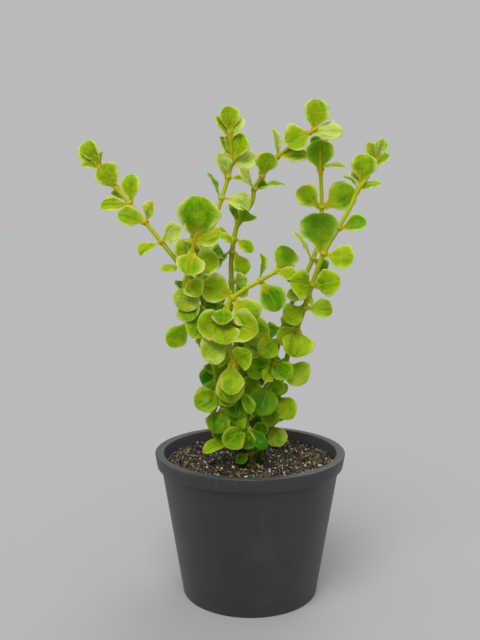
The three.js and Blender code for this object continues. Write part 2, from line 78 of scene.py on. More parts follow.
# Each shoot is a route and its leaves, as in the part's source.
#
# route: points [x, y, height above the gravel] from the buried foot to the growing tip.
# pairs: [height above the gravel, leaf, leaf], from the lowest pair up.
# tip: [height above the gravel, leaf], the young leaves of the stem's end.
# crowded: [lowest height, highest height, usual clock] of the smaller leaves that fill the bunch.
# single: [height above the gravel, leaf], leaves inside the bunch that have lost their partner.
#
# A leaf is [clock, lean, facing, length, breadth, tone]. Clock is where its tip points as seen from the
# front, with 0 to the right and 90 up. Lean is how far it leans to the front. Facing is how far
# its upper side is turned to the front: 90 shows the whole upper side, 0 the edge and -90 the
# whole underside. Breadth is a share of the length, left out on a leaf of the usual round form.
# Tone runs from 0 or less for a deep green leaf to 1 for a yellow one and above 1.2 for one that is
# washed out. It is left to chance where a row doesn't give it. The given tones were matched to how
# light or dark each leaf looks where it hangs, so besides the leaf's own colour they hold painted
# shade on leaves in shadow and painted light on leaves that others shade.
SHOOTS = {
    "far_left": {
        "route": [
            [-3.5, -5, -12], [-3.5, -5, 0], [-5.5, -6, 9], [-8.5, -7, 18], [-11, -8, 28],
            [-12.5, -9, 38], [-14.5, -9.5, 50], [-17, -9, 60.5], [-23, -8, 68], [-29.5, -6, 76],
            [-35, -4, 82.5], [-41.5, -2, 90], [-46, 0, 95], [-51.5, 1, 101.5], [-53.5, 1, 104.5],
        ],
        "pairs": [
            [8.5, [197, 15, 35, 10.5, 0.5, 0.85], [140, -50, 50, 6]],
            [20, [250, 35, 80, 8.6, 1, 0.15], [100, -50, 60, 7]],
            [25.5, [203, 38, 80, 9.3, 0.95, 0.58], [330, 50, 70, 7.5]],
            [51, [240, 45, 80, 9.5], [60, -45, 60, 8]],
            [61.5, [236, 35, 80, 10, 0.9, 1.12], [-20, -30, 40, 8]],
            [68.5, [197, 40, 40, 6.5, 0.9, 0.93], [45, 35, -80, 9.5, 0.9, 0.75]],
            [76, [32, 25, 65, 8.5, 0.9, 1.22], [205, 20, 30, 8, 0.8, 0.8]],
            [82.5, [160, 12, 60, 9, 0.8, 1.05], [70, 20, 45, 7, 0.8, 1.05]],
            [88.5, [90, 0, 65, 9.3, 0.8, 0.95], [180, 5, 60, 9.3, 0.6, 1]],
        ],
        "tip": [
            [93.5, [124, 2, 82, 9.8, 0.9, 0.65]], [94, [280, -50, 60, 6]],
            [99.5, [84, 10, 20, 6.5, 0.6, 0.7]], [100, [166, 15, 30, 6.5, 0.6, 0.95]],
            [100.5, [116, 0, 78, 10.2, 0.75, 0.96]], [102, [140, 0, 40, 6, 0.7, 1.2]],
        ],
        "crowded": [12, 24, -70],
        "single": [],
    },
    "mid_left": {
        "route": [
            [-3.5, 2, -12], [-3.5, 2, 0], [-5, 2, 8], [-7.5, 1.5, 19], [-11.5, 0.5, 31],
            [-16, -1.5, 40], [-20.5, -5, 49], [-22, -10, 59.5], [-19.5, -14, 70], [-17.5, -16, 79],
        ],
        "pairs": [
            [13, [288, 40, 80, 9, 0.9, 0.5], [160, -50, 50, 7]],
            [29, [290, -20, 70, 8.5, 0.9, 0.3], [130, -40, 60, 7]],
            [39.5, [352, 40, 75, 11, 0.9, 1.1], [100, -40, 50, 6]],
            [49, [233, 5, 85, 9.8, 0.75, 0.6], [60, -50, 60, 7]],
            [58, [294, 35, 85, 9, 0.9, 0.25], [110, -30, 40, 6]],
            [67.5, [94, -8, 76, 9.8, 0.9, 1.05], [20, 12, 72, 10, 0.9, 0.6]],
        ],
        "tip": [
            [77, [84, 15, 85, 14.5, 0.92, 0.25]], [76, [20, 22, 70, 10, 0.8, 1.03]],
            [78.5, [120, 20, 60, 6]],
        ],
        "crowded": [12, 30, -72],
        "single": [
            [73, [262, 36, 80, 9, 1.05, 0.62]], [63.5, [322, 40, 78, 7.5, 0.95, 1]],
            [53.5, [345, 35, 78, 8, 0.9, 0.55]],
        ],
    },
    "upper_left": {
        "route": [
            [-1, 6, -12], [-1.5, 6, 0], [-3.5, 6, 10], [-5.5, 6, 20], [-8.5, 5, 31], [-13, 3.5, 47],
            [-15, 2, 59.5], [-14.5, 1, 71.5], [-13, 1, 79], [-10.5, 2, 88], [-7.5, 3, 97.5],
            [-6.5, 3, 103.5], [-7, 2, 112.5],
        ],
        "pairs": [
            [18, [140, -40, 60, 8], [330, -40, 70, 8]],
            [33, [231, 5, 75, 9.5, 0.95, -0.15], [20, -30, 60, 8]],
            [48, [190, -25, 60, 8], [-10, -30, 60, 9.5]],
            [60, [150, -40, 60, 8], [-46, 30, 72, 8, 0.9, 0.65]],
            [71, [250, 35, 80, 9, 0.9, 0.6], [10, -40, 50, 7]],
            [79, [232, 40, 80, 9.5, 0.9, 0.5], [-25, 20, 40, 7.5, 0.6, 0.7]],
            [90.5, [117, 0, 22, 10, 0.6, 0.3], [-20, 10, 45, 9.5, 0.8, 1.15]],
            [97.5, [108, 10, 60, 8.5, 0.65, 1.35], [-12, -20, 30, 7, 0.6, 0.9]],
        ],
        "tip": [
            [102, [112, 0, 35, 10, 0.5, 0.75]], [103, [70, 3, 80, 10, 0.9, 0.5]],
            [101.5, [24, -15, 60, 9.8, 0.9, 1.3]],
            [110.5, [122, 0, 60, 8.6, 0.62, 0.8]], [112, [96, 0, 70, 9, 0.8, 0.95]],
            [110, [62, -5, 65, 8.6, 0.62, 1.3]],
        ],
        "crowded": [11, 52, -78],
        "single": [],
    },
    "middle": {
        "route": [
            [0, 0, -12], [0, 0, 0], [-1, 1, 14], [-3.5, 2, 31.5], [-5.5, 3, 49], [-6.5, 4, 64.5],
            [-6, 4, 74], [-4, 4, 82.5], [0.5, 4, 89], [1.5, 3, 94], [4, 1, 98], [9.5, -1, 104.5],
            [15, -2, 108.5], [21.5, -3, 113],
        ],
        "pairs": [
            [34, [-8, 30, 75, 11, 0.9, 0.4], [200, 40, 70, 8.5]],
            [44, [8, 32, 78, 12.5, 0.9, 0.8], [185, 30, 70, 8]],
            [56.5, [45, 20, 70, 6, 0.9, 0.8], [160, -30, 40, 7]],
            [72, [-68, 10, 60, 8.5, 0.8, 0.6], [232, 0, 40, 7.5, 0.6, 0.5]],
            [76.5, [155, -5, 30, 7, 0.7, 0.95], [-38, 10, 60, 7, 0.75, 0.72]],
            [82.5, [40, 45, -70, 8, 0.9, 0.6], [100, -20, 60, 7, 0.9, 0.4]],
            [94, [126, 25, 45, 8.5, 0.6, 1.25], [8, 0, 25, 10, 0.55, 0.6]],
            [98, [65, 25, 75, 8.6, 0.9, 0.88], [240, -40, 50, 7]],
        ],
        "tip": [
            [104, [101, 0, 45, 9.5, 0.45, 1.2]], [104.5, [3, 10, 45, 9.8, 0.7, 0.75]],
            [111.6, [204, 18, 75, 9.4, 1, 0.85]],
            [112.5, [87, 0, 80, 10.2, 0.85, 0.62]], [112, [0, 5, 60, 10.6, 0.7, 1.25]],
        ],
        "crowded": [13, 46, -90],
        "single": [
            [13, [12, 25, 75, 7]], [13, [185, 15, 70, 6.5, 0.9, -0.2]], [20, [234, 10, 70, 6, 0.9, 0]],
            [22, [72, 10, 70, 8.5, 0.9, 0.9]], [40, [-8, 25, 80, 9, 0.9, 1.15]],
            [61.5, [16, 45, 80, 6.5, 0.8, 1.25]], [53, [200, 30, 78, 8, 0.9, 0.5]],
        ],
    },
    "short_right": {
        "route": [
            [0.5, -7, -12], [0.5, -7, 0], [-1.5, -9, 16.5], [-5, -11, 34], [-7.5, -12, 45.5],
            [-7.5, -12, 55.5], [-3, -11, 60], [2.5, -9, 63], [9, -6, 66.5], [11, -5, 67.5],
        ],
        "pairs": [
            # The second leaf's deep tone of -0.6 is painted shade for the shadow of the stems there.
            [13.5, [203, 38, 75, 10.3, 0.75, 0.3], [-50, 20, 70, 8.5, 0.6, -0.6]],
            [26, [264, 5, 85, 8.5, 0.95, 0], [-65, 20, 70, 8, 0.5, 0.32]],
            [36.5, [266, 20, 86, 14, 0.66, 0.6], [38, 50, 80, 9, 0.9, 0.85]],
            [49, [171, 32, 78, 10.3, 0.95, 0.8], [-8, 38, 80, 11.5, 0.95, 0.9]],
            [57.5, [161, 3, 80, 10, 0.98, 0.85], [-46, 22, 80, 10.8, 0.95, 0.85]],
            [63.4, [86, 0, 30, 8.4, 0.5, 0.9], [-58, 15, 80, 11, 0.8, 0.05]],
        ],
        "tip": [
            [66.5, [65, 15, -80, 9.5, 0.9, 0.4]], [66.2, [-20, 20, 50, 7.5, 0.8, 0.88]],
            [67, [30, -20, 50, 6]],
        ],
        "crowded": [15, 22, -95],
        "single": [
            [5, [216, 25, 60, 5, 0.8, -0.2]], [54.5, [252, 40, 72, 7, 1.1, 0.3]],
            [43, [206, 35, 75, 10.3, 1, 1.12]], [49.5, [268, 42, 75, 8.5, 1.2, 0.85]],
            [34.5, [262, 42, 80, 10, 0.78, 0.6]],
        ],
    },
    "inner_right": {
        "route": [
            [3.5, -3, -12], [3.5, -3, 0], [4.5, -2, 14.5], [7.5, -1, 32], [11, -1, 46],
            [15.5, 0, 58], [21, 2, 69], [24, 4, 78], [24.5, 5, 88.5], [24, 5, 99.5],
            [23.5, 4, 106.5],
        ],
        "pairs": [
            [26.5, [250, 35, 85, 11.5, 0.9, -0.15], [60, -40, 60, 7]],
            [34, [-35, 40, 80, 8, 0.9, 0.18], [150, -40, 60, 7]],
            [46, [200, -40, 60, 7.5], [50, -40, 60, 7]],
            [58, [70, 15, 75, 6, 0.8, 1.05], [-10, -40, 60, 7]],
            [70, [125, 0, 30, 11.5, 0.42, 1.2], [-50, -30, 60, 7]],
            [87.5, [140, 5, 75, 10, 0.85, 0.6], [30, 5, 75, 12, 0.9, 0.45]],
        ],
        "tip": [
            [99.5, [97, 15, -85, 11, 0.9, 0.4]], [101, [-4, 20, 28, 9, 0.6, 1.2]],
            [105.5, [75, -20, 60, 6]], [106, [115, -10, -60, 6]],
        ],
        "crowded": [21, 40, -100],
        "single": [
            [8.5, [228, 35, 75, 5.5, 0.9, 0]], [8.5, [95, 15, 75, 7, 0.9, 0.2]],
            [31.5, [212, 58, 75, 6.2, 0.8, 1.05]], [42, [214, 30, 80, 8.5, 0.9, 0.65]],
            [62, [158, 30, 70, 6.5, 0.8, 0.9]],
        ],
    },
    "far_right": {
        "route": [
            [4.5, 4, -12], [4.5, 4, 0], [6.5, 5, 11], [11, 4, 27.5], [14, 1, 40.5], [17.5, -2, 51],
            [19.5, -4, 58], [24, -6, 71.5], [29, -6, 80.5], [33, -5, 87.5], [35.5, -4, 93],
            [38.5, -3, 97], [42.5, -2, 104],
        ],
        "pairs": [
            [11.5, [-60, 30, 80, 8.5, 0.85, 1.15], [170, -40, 50, 7]],
            # The second leaf's tone of 1.7 is painted light: it stays pale under the shade of the leaf
            # above.
            [21.5, [-52, 42, 80, 9.5, 0.9, 0.92], [60, -10, 85, 5.4, 0.65, 1.7]],
            [33, [-40, 35, 78, 9.4, 1, 1.12], [200, -40, 50, 7]],
            [46, [-96, 32, 80, 10, 1.1, 1.03], [222, 30, 78, 8, 0.95, 0.92]],
            [54, [-4, 15, 65, 8.8, 0.75, 1.08], [212, 30, 78, 8.5, 0.9, 0.7]],
            [62, [20, 35, 80, 9.8, 0.9, 0.75], [168, 45, 85, 9.8, 1, 0.9]],
            [72, [98, 15, -85, 14.5, 0.88, 0.3], [-12, 28, 65, 9.8, 0.9, 0.9]],
            [80.5, [19, 12, 55, 9, 0.68, 0.25], [210, -40, 50, 7]],
        ],
        "tip": [
            [92.5, [16, 0, 20, 8.5, 0.55, 0.5]], [93.5, [143, 0, 20, 7.5, 0.6, 0.35]],
            [95.3, [91, 3, 82, 9.8, 0.95, 0.96]], [94.5, [126, -10, 60, 6, 0.8, 1.15]],
            [102.5, [74, 5, 75, 8, 0.62, 1.15]], [101, [38, 0, 50, 6.5, 0.6, 0.6]],
            [102.5, [116, 10, 70, 7, 0.62, 0.85]],
        ],
        "crowded": [20, 24, -118],
        "single": [[58, [184, 20, 50, 7, 0.7, 1.25]]],
    },
}

# What a leaf's row in the tables gives, in order.
LEAF_ROW = ("clock", "lean", "facing", "length", "breadth", "tone")

# How leaves differ by chance: the lowest and highest value of each trait, drawn in this order.
LEAF_TRAITS = {
    "arch": (0.6, 1.5),  # Share of the usual arch.
    "cup": (0.2, 2.2),  # Share of the usual cup.
    "roll": (0.0, 0.16),  # How far the margin rolls down.
    "wave": (0.03, 0.12),  # Height of the waves along the margin.
    "waves": (1.5, 3.2),  # Their number.
    "phase": (0.0, 6.3),  # Where they start, in radians.
    "twist": (-14, 14),  # Turn of the tip about the midrib, in degrees.
    "point": (0.0, 0.14),  # How far the tip is drawn in.
    "tone": (0.1, 0.9),  # Used where the row gives no tone.
    "fold": (0.0, 0.4),  # How far the two halves fold up along the midrib.
    "curl": (-0.3, 1.0),  # How far the tip curls down.
    "quilt": (0.02, 0.075),  # Height of the bulges between the veins.
    "quilts": (3.0, 6.5),  # Their number.
    "lean_in": (-1.5, 1.5),  # How far the bulges sit to one side, in radians.
    "skew": (-0.13, 0.13),  # How much broader one half is than the other.
    "spoon": (1.08, 1.28),  # How far the blade widens towards its tip.
}
# The shallow notches along each half of the margin: how deep, where they start and how many.
NOTCH_TRAITS = {"depth": (0.02, 0.075), "lag": (0, 6.3), "laps": (1.4, 2.8)}

# The leaves that fill the crowded part of a stem: how far they point aside from its usual clock,
# then the rest of a leaf's row. Each pair has one in front of the stem and one behind.
FRONT_FILLING = {
    "aside": (8, 32), "lean": (0, 16), "facing": (55, 85), "length": (6.5, 8.6), "breadth": 0.9,
    "tone": (0.05, 0.5),
}
# The leaves behind the stem get a slightly deeper tone than those in front: painted shade.
BACK_FILLING = {
    "aside": (20, 70), "lean": (-50, -25), "facing": 60, "length": (6, 8), "breadth": 0.9,
    "tone": (0.0, 0.4),
}
FILLING_STEP = (4.2, 6.0)

# The form of a stem: its rings, how far the swelling of a joint reaches, and its rounded end.
STEM_SIDES = 14
STEM_STEP = 0.7 * MM
JOINT_REACH = 0.9 * MM
DOME_TURNS = (30, 60, 90)

# The form of a blade. Its point and curl start at a share of its length. Widths and depths without
# MM are shares of half its breadth. The youngest leaves have the young spoon on top of their own.
BLADE_SIDES, BLADE_RINGS = 24, 16
BLADE_FULLNESS = 0.53
YOUNG_SPOON = 0.16
POINT_START = 0.72
CURL_START = 0.6
CURL_DEPTH = 0.35
RIB_WIDTH = 0.16
RIB_GROOVE = 0.07 * MM
MARGIN_THINNING = 0.45
STALK_CLEARANCE = 0.2 * MM

# The ring that joins a pair of leaves.
COLLAR_SIDES, COLLAR_RINGS = 16, 8
COLLAR_CLEARANCE = 0.12 * MM
COLLAR_THICKNESS = 0.42 * MM
COLLAR_HALF_HEIGHT = 0.75 * MM
COLLAR_MAP_PLACE = (0.5, 0.02)

# The pot.
POT_STEPS = 96
RIM_SLOPE = 0.3 * MM
EDGE_ROUNDING = 0.35 * MM
SHARP_ANGLE = math.radians(50)
DRAIN_HOLES = 4
DRAIN_SIDES = 24

# The gravel. It is heaped round each stem by a share of its unevenness, over a spread in square
# millimetres. Grains are out of line by a share of their spacing. How far one rises above the bed,
# and how rough and flat it is, are shares of its radius, and the bias makes more of them small.
GRAVEL_STEPS, GRAVEL_RINGS = 72, 14
BED_SINK = 0.15 * MM
HEAP_RISE = 1.3
HEAP_SPREAD = 5.5
GRAIN_JITTER = 0.2
GRAIN_OVERHANG = 0.1 * MM
SMALL_GRAIN_BIAS = 2.2
GRAIN_RISE = (-0.35, 0.15)
GRAIN_ROUGHNESS = (0.72, 1.12)
GRAIN_FLATNESS = (0.62, 1.25)
GRAIN_SEED, STONE_SEED = 11, 7

# The stage. A light's row is its name, where it shines from, its spread in degrees and its share of
# the main light.
CAMERA_PLACE = (-0.0035, -0.272, 0.1291)
CAMERA_TILT = math.radians(83)
LIGHTS = (
    ("key_light", (-0.2, -0.7, 1.0), 40, 1.0),
    ("back_light", (0.35, 0.8, 1.0), 45, 0.35),
)
ROOM_COLOUR = (0.98, 0.99, 1.0)


def length_property(name, description, millimetres):
    """A size that is given here in millimetres and kept in metres."""
    return bpy.props.FloatProperty(
        name=name, description=description, default=millimetres * MM, min=0.0,
        unit="LENGTH", precision=5,
    )


def frame_length(metres):
    """A length of the frame in millimetres, without the noise of its file."""
    return round(metres / MM, 3)


def number_property(name, description, default):
    """A plain number, such as a share of another size or the strength of a light."""
    return bpy.props.FloatProperty(name=name, description=description, default=default)


def colour_property(name, description, default):
    """A colour in linear light."""
    return bpy.props.FloatVectorProperty(
        name=name, description=description, default=default, size=3, subtype="COLOR",
        min=0.0, max=1.0,
    )


class RotalaPot(bpy.types.PropertyGroup):
    """Sizes and colours of the pot."""

    height: length_property(
        "Height", "From the flat underside to the top of the rim", frame_length(POT_CORNER.z),
    )
    top_radius: length_property("Rim radius", "Radius of the rolled rim", frame_length(POT_CORNER.x))
    foot_radius: length_property("Foot radius", "Radius of the flat underside", 23.5)
    wall: length_property("Wall", "Thickness of the side wall", 1.6)
    floor: length_property("Floor", "Thickness of the floor", 2)
    rim_height: length_property("Rim height", "How far down the rolled rim reaches", 5)
    rim_lip: length_property("Rim lip", "How far the rim stands out from the wall", 1.4)
    drain_radius: length_property("Drain hole radius", "Radius of a drain hole", 1.8)
    drain_ring: length_property("Drain ring", "Distance of the drain holes from the middle", 12)
    plastic: colour_property("Plastic", "Colour of the moulded plastic", (0.022, 0.025, 0.024))
    worn: colour_property("Worn plastic", "Colour of rubbed edges and dried water", (0.09, 0.09, 0.08))


class RotalaGravel(bpy.types.PropertyGroup):
    """Sizes and colours of the gravel."""

    top: length_property("Top", "Mean height of the gravel's surface", 46.5)
    lump: length_property("Unevenness", "How far the surface rises and falls", 0.7)
    gap: length_property("Gap", "Space between the gravel and the pot's wall", 0.3)
    small: length_property("Smallest grain", "Radius of the smallest grains", 0.3)
    large: length_property("Largest grain", "Radius of the largest grains", 0.72)
    spacing: length_property("Spacing", "Distance between the middles of grains", 0.72)
    dark: colour_property("Dark grains", "Colour of most of the grains", (0.016, 0.0125, 0.0055))
    brown: colour_property("Brown grains", "Colour of the brown grains", (0.070, 0.050, 0.018))
    tan: colour_property("Tan grains", "Colour of the tan grains", (0.22, 0.165, 0.075))
    pale: colour_property("Pale grains", "Colour of the few pale grains", (0.52, 0.48, 0.40))


class RotalaStem(bpy.types.PropertyGroup):
    """Sizes and colours of the stems."""

    foot_radius: length_property("Foot radius", "Radius of a stem in the gravel", 1.05)
    tip_radius: length_property("Tip radius", "Radius of a stem at its growing tip", 0.6)
    swelling: length_property("Swelling", "How far a stem swells at a joint", 0.28)
    young: colour_property("Young stem", "Colour near the tip", (0.43, 0.48, 0.010))
    old: colour_property("Old stem", "Colour low in the bunch", (0.165, 0.26, 0.007))
    buried: colour_property("Stem foot", "Colour where a stem enters the gravel", (0.055, 0.085, 0.006))
    joint: colour_property("Joint", "Colour of the swollen joints", (0.50, 0.37, 0.018))


class RotalaLeaf(bpy.types.PropertyGroup):
    """Sizes and colours of the leaves."""

    thickness: length_property("Thickness", "Thickness of a blade along its middle", 0.38)
    breadth: number_property("Breadth", "Breadth of a usual blade as a share of its length", 0.9)
    arch: bpy.props.FloatProperty(
        name="Arch", description="How far a blade bends down along its length",
        default=math.radians(24), subtype="ANGLE",
    )
    cup: number_property("Cup", "How far the sides of a blade rise, as a share of its half width", 0.1)
    stalk_share: number_property("Stalk", "Share of the leaf's length that is stalk", 0.04)
    stalk_width: number_property("Stalk width", "Width of the stalk as a share of the blade's", 0.26)
    young: colour_property("Young leaf", "Colour at the growing tips", (0.268, 0.405, 0.002))
    grown: colour_property("Grown leaf", "Colour of most leaves", (0.100, 0.275, 0.001))
    old: colour_property("Old leaf", "Colour of the deep green leaves", (0.035, 0.166, 0.001))
    foot: colour_property("Leaf foot", "Colour where a blade meets the stem", (0.54, 0.46, 0.022))
    # The margin colour paints the highlight along each blade's edge and also tints the veins.
    margin: colour_property("Margin", "Colour of the thin pale edge and the veins", (0.60, 0.72, 0.14))
    # The rim colour is partly the blade's own yellower edge and partly painted highlight, and it paints
    # the pale stripes of highlight too.
    rim: colour_property("Rim", "Colour of the blade's outer part", (0.32, 0.45, 0.003))
    underside: colour_property("Underside", "Colour of a blade's lower side", (0.22, 0.37, 0.012))
    pale: colour_property("Pale leaf", "Colour of the washed-out leaves and rims", (0.68, 0.75, 0.24))


class RotalaStage(bpy.types.PropertyGroup):
    """The floor, the light and the camera."""

    floor: colour_property("Floor", "Colour of the plain floor", (0.400, 0.403, 0.406))
    floor_size: length_property("Floor size", "Length of a side of the floor", 30000)
    key: number_property("Key light", "Strength of the main light", 2.2)
    sky: number_property("Room light", "Strength of the even light from all sides", 0.5)
    lens: number_property("Lens", "Focal length in millimetres", 45.0)


def mesh_of(name, form):
    """Turns a bmesh into a mesh."""
    mesh = bpy.data.meshes.new(name)
    form.to_mesh(mesh)
    form.free()
    return mesh


def added(name, data):
    """A new object in the scene."""
    thing = bpy.data.objects.new(name, data)
    bpy.context.scene.collection.objects.link(thing)
    return thing


def new_piece(name, mesh, material, node, smooth=True):
    """Adds a finished piece that rides on the object's one body and stands for a node of the frame."""
    for face in mesh.polygons:
        face.use_smooth = smooth
    mesh.materials.append(material)
    piece = added(name, mesh)
    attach(piece, BODY)
    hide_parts(node)
    return piece


def add_grid(form, columns, rows, place):
    """Adds a grid and moves its points by place(across, along), both from 0 to 1.

    place gives a point, its place on the UV map and its growth tones.
    """
    uv_layer = form.loops.layers.uv.verify()
    tone_layer = form.verts.layers.float_color.get("growth")
    if tone_layer is None:
        tone_layer = form.verts.layers.float_color.new("growth")
    made = bmesh.ops.create_grid(form, x_segments=columns, y_segments=rows, size=1.0)
    flat_uv = {}
    for vertex in made["verts"]:
        across, along = (vertex.co.x + 1) / 2, (vertex.co.y + 1) / 2
        point, flat, tones = place(across, along)
        vertex.co = point
        vertex[tone_layer] = (*tones, 1.0)
        flat_uv[vertex] = flat
    for face in {face for vertex in made["verts"] for face in vertex.link_faces}:
        for loop in face.loops:
            loop[uv_layer].uv = flat_uv[loop.vert]


def closed_up(form):
    """Joins the points of a form that lie together and turns its faces outwards."""
    bmesh.ops.remove_doubles(form, verts=form.verts, dist=MERGE_REACH)
    bmesh.ops.dissolve_degenerate(form, edges=form.edges, dist=SHORTEST_EDGE)
    bmesh.ops.recalc_face_normals(form, faces=form.faces)
    return form


def drawn(traits, chance, given=()):
    """Draws each trait between its lowest and highest value, unless it is given or a plain number."""
    values = dict(given)
    for name, span in traits.items():
        if name not in values:
            values[name] = chance.uniform(*span) if isinstance(span, tuple) else span
    return SimpleNamespace(**values)


def unit_share(value):
    """A value held between 0 and 1."""
    return min(1.0, max(0.0, value))


# Stems

class Shoot:
    """A stem of the growth tables as a smooth curve in metres, with what grows on it."""

    def __init__(self, growth, gravel, stem):
        self.growth = growth
        self.ground = gravel.top
        self.stem = stem
        self.points = [
            Vector((x * MM, y * MM, gravel.top + height * MM)) for x, y, height in growth["route"]
        ]
        self.spans = len(self.points) - 1

    def on_curve(self, span, share):
        """The place, direction and radius of the stem at a share of one span of its route."""
        points = self.points
        start, end = points[span], points[span + 1]
        before = points[span - 1] if span > 0 else start * 2 - end
        after = points[span + 2] if span + 2 < len(points) else end * 2 - start
        leave, arrive = (end - before) / 2, (after - start) / 2
        t, t2, t3 = share, share ** 2, share ** 3
        place = (start * (2 * t3 - 3 * t2 + 1) + leave * (t3 - 2 * t2 + t)
                 + end * (3 * t2 - 2 * t3) + arrive * (t3 - t2))
        direction = (start * (6 * t2 - 6 * t) + leave * (3 * t2 - 4 * t + 1)
                     + end * (6 * t - 6 * t2) + arrive * (3 * t2 - 2 * t))
        along = (span + share) / self.spans
        radius = self.stem.foot_radius + (self.stem.tip_radius - self.stem.foot_radius) * along
        return place, direction.normalized(), radius

    def at(self, height):
        """The place, direction and radius of the stem at a height in millimetres above the gravel."""
        level = self.ground + height * MM
        span = 0
        while span < self.spans - 1 and self.points[span + 1].z < level:
            span += 1
        low, high = self.points[span].z, self.points[span + 1].z
        return self.on_curve(span, unit_share((level - low) / (high - low)))

    def age(self, height):
        """0 for the youngest leaves at the tip and 1 for the oldest at the foot."""
        return unit_share(1 - height / self.growth["route"][-1][2])


def round_stem(direction, turn):
    """The direction square to a stem at a turn round it, which starts level with the front."""
    first = BACK.cross(direction).normalized()
    return first * math.cos(turn) + direction.cross(first) * math.sin(turn)


def stem_stations(shoot):
    """Rings along a stem: place, direction, radius, age and how near a joint is."""
    joints = [
        shoot.at(bearing[0])[0] for part in ("pairs", "tip", "single") for bearing in shoot.growth[part]
    ]
    stations = []
    for span in range(shoot.spans):
        steps = max(2, round((shoot.points[span + 1] - shoot.points[span]).length / STEM_STEP))
        for step in range(steps + (span == shoot.spans - 1)):
            place, direction, radius = shoot.on_curve(span, step / steps)
            near = max(math.exp(-((place - joint).length / JOINT_REACH) ** 2) for joint in joints)
            level = (place.z - shoot.ground) / (shoot.points[-1].z - shoot.ground)
            stations.append((place, direction, radius + shoot.stem.swelling * near, 1 - level, near))
    place, direction, radius, age, near = stations[-1]
    for turn in DOME_TURNS:
        rise = radius * math.sin(math.radians(turn))
        end = radius * math.cos(math.radians(turn)) if turn < 90 else 0.0
        stations.append((place + direction * rise, direction, end, age, near))
    place, direction, _, age, near = stations[0]
    return [(place, direction, 0.0, age, near)] + stations


def stem_form(shoot, tone):
    """A tapered stem that swells at its joints, closed at both ends."""
    stations = stem_stations(shoot)
    rows = len(stations) - 1

    def place(across, along):
        centre, direction, radius, age, near = stations[round(along * rows)]
        point = centre + round_stem(direction, across * FULL_TURN) * radius
        return point, (across, along), (unit_share(age), near, tone)

    form = bmesh.new()
    add_grid(form, STEM_SIDES, rows, place)
    return closed_up(form)


# Leaves

def leaf_directions(clock, lean, facing, stem_direction):
    """The directions along a leaf, across it and out of its upper side."""
    clock, lean, facing = (math.radians(angle) for angle in (clock, lean, facing))
    along = Vector((
        math.cos(lean) * math.cos(clock),
        -math.sin(lean),
        math.cos(lean) * math.sin(clock),
    ))
    to_front = (FRONT - along * FRONT.dot(along)).normalized()
    to_tip = along.cross(to_front)
    if to_tip.dot(stem_direction) < 0:
        to_tip.negate()
    upper = to_tip * math.cos(facing) + to_front * math.sin(facing)
    return along, along.cross(upper), upper


def from_start(share, start):
    """0 up to a start on the blade and 1 at its tip, rising ever faster."""
    return max(0.0, (share - start) / (1 - start)) ** 2


def blade_breadth(shape, leaf, share, side, ring):
    """Half the blade's breadth at a share of its length, as a share of half its greatest breadth."""
    blade = unit_share((share - leaf.stalk_share) / (1 - leaf.stalk_share))
    taper = 0.5 + 0.9 * (shape.spoon - 1) * (1 - blade)
    rounded = max(0.0, math.sin(math.pi * blade ** shape.spoon)) ** taper
    wide = max(rounded, leaf.stalk_width * min(1.0, (1 - share) * 8))
    wide *= 1 - shape.point * from_start(share, POINT_START) + shape.skew * side
    notch = shape.notches[side > 0]
    return wide * (1 + notch.depth * (math.sin(notch.laps * FULL_TURN * share + notch.lag) - 0.5) * ring)


def blade_bend(shape, leaf, share, side, ring, wide):
    """How far the blade stands out of its plane: cupped, folded, waved, quilted and curled."""
    edge = abs(side) * wide
    wave = math.sin(shape.waves * FULL_TURN * share + shape.phase + 2.0 * side)
    quilt = math.sin(shape.quilts * math.pi * share + shape.phase) * math.cos(3.4 * side + shape.lean_in)
    return (
        leaf.cup * shape.cup * edge ** 2 - shape.roll * abs(side) ** 5 * wide
        + shape.fold * wide * (math.hypot(side, RIB_WIDTH) - RIB_WIDTH)
        + shape.wave * edge ** 2 * wave + shape.quilt * ring * quilt
        - shape.curl * CURL_DEPTH * from_start(share, CURL_START)
    )


def add_leaf(form, row, foot, stem_direction, leaf, age, chance):
    """Adds one blade with its stalk, arched along its length and different from all others."""
    shape = drawn(LEAF_TRAITS, chance, {"breadth": leaf.breadth, **dict(zip(LEAF_ROW, row))})
    shape.spoon += YOUNG_SPOON * (1 - age)
    shape.notches = [drawn(NOTCH_TRAITS, chance) for _ in range(2)]
    along, across, upper = leaf_directions(*row[:3], stem_direction)
    length = shape.length * MM
    half_width = length * shape.breadth * BLADE_FULLNESS
    arch = leaf.arch * shape.arch
    twist = math.radians(shape.twist)

    def place(around, run):
        share = (1 - math.cos(math.pi * run)) / 2
        ring = math.sin(math.pi * run)
        side = math.cos(around * FULL_TURN) if 0 < run < 1 else 0.0
        through = math.sin(around * FULL_TURN)
        wide = blade_breadth(shape, leaf, share, side, ring)
        bend = half_width * blade_bend(shape, leaf, share, side, ring, wide)
        groove = RIB_GROOVE * math.exp(-(side / RIB_WIDTH) ** 2) * min(1.0, ring * 2)
        skin = through * leaf.thickness / 2 * min(1.0, 1.4 * ring) * (1 - MARGIN_THINNING * abs(side))
        out = bend - groove + skin
        heading = arch * (0.5 - share)
        forward = length / arch * (math.sin(arch / 2) - math.sin(heading))
        hump = length / arch * (math.cos(heading) - math.cos(arch / 2))
        spread = side * half_width * wide
        angle = twist * share
        point = (foot + along * (forward - out * math.sin(heading))
                 + upper * (hump + out * math.cos(heading) + spread * math.sin(angle))
                 + across * (spread * math.cos(angle)))
        return point, (0.5 + side / 2, share), (age, shape.tone, 0.5 - 0.5 * through)

    add_grid(form, BLADE_SIDES, BLADE_RINGS, place)


def add_leaf_at(form, shoot, height, row, leaf, chance):
    """Adds a leaf that leaves the stem at a height, on the side that it points to."""
    place, direction, radius = shoot.at(height)
    along = leaf_directions(*row[:3], direction)[0]
    outward = (along - direction * along.dot(direction)).normalized()
    foot = place + outward * (radius + STALK_CLEARANCE)
    add_leaf(form, row, foot, direction, leaf, shoot.age(height), chance)


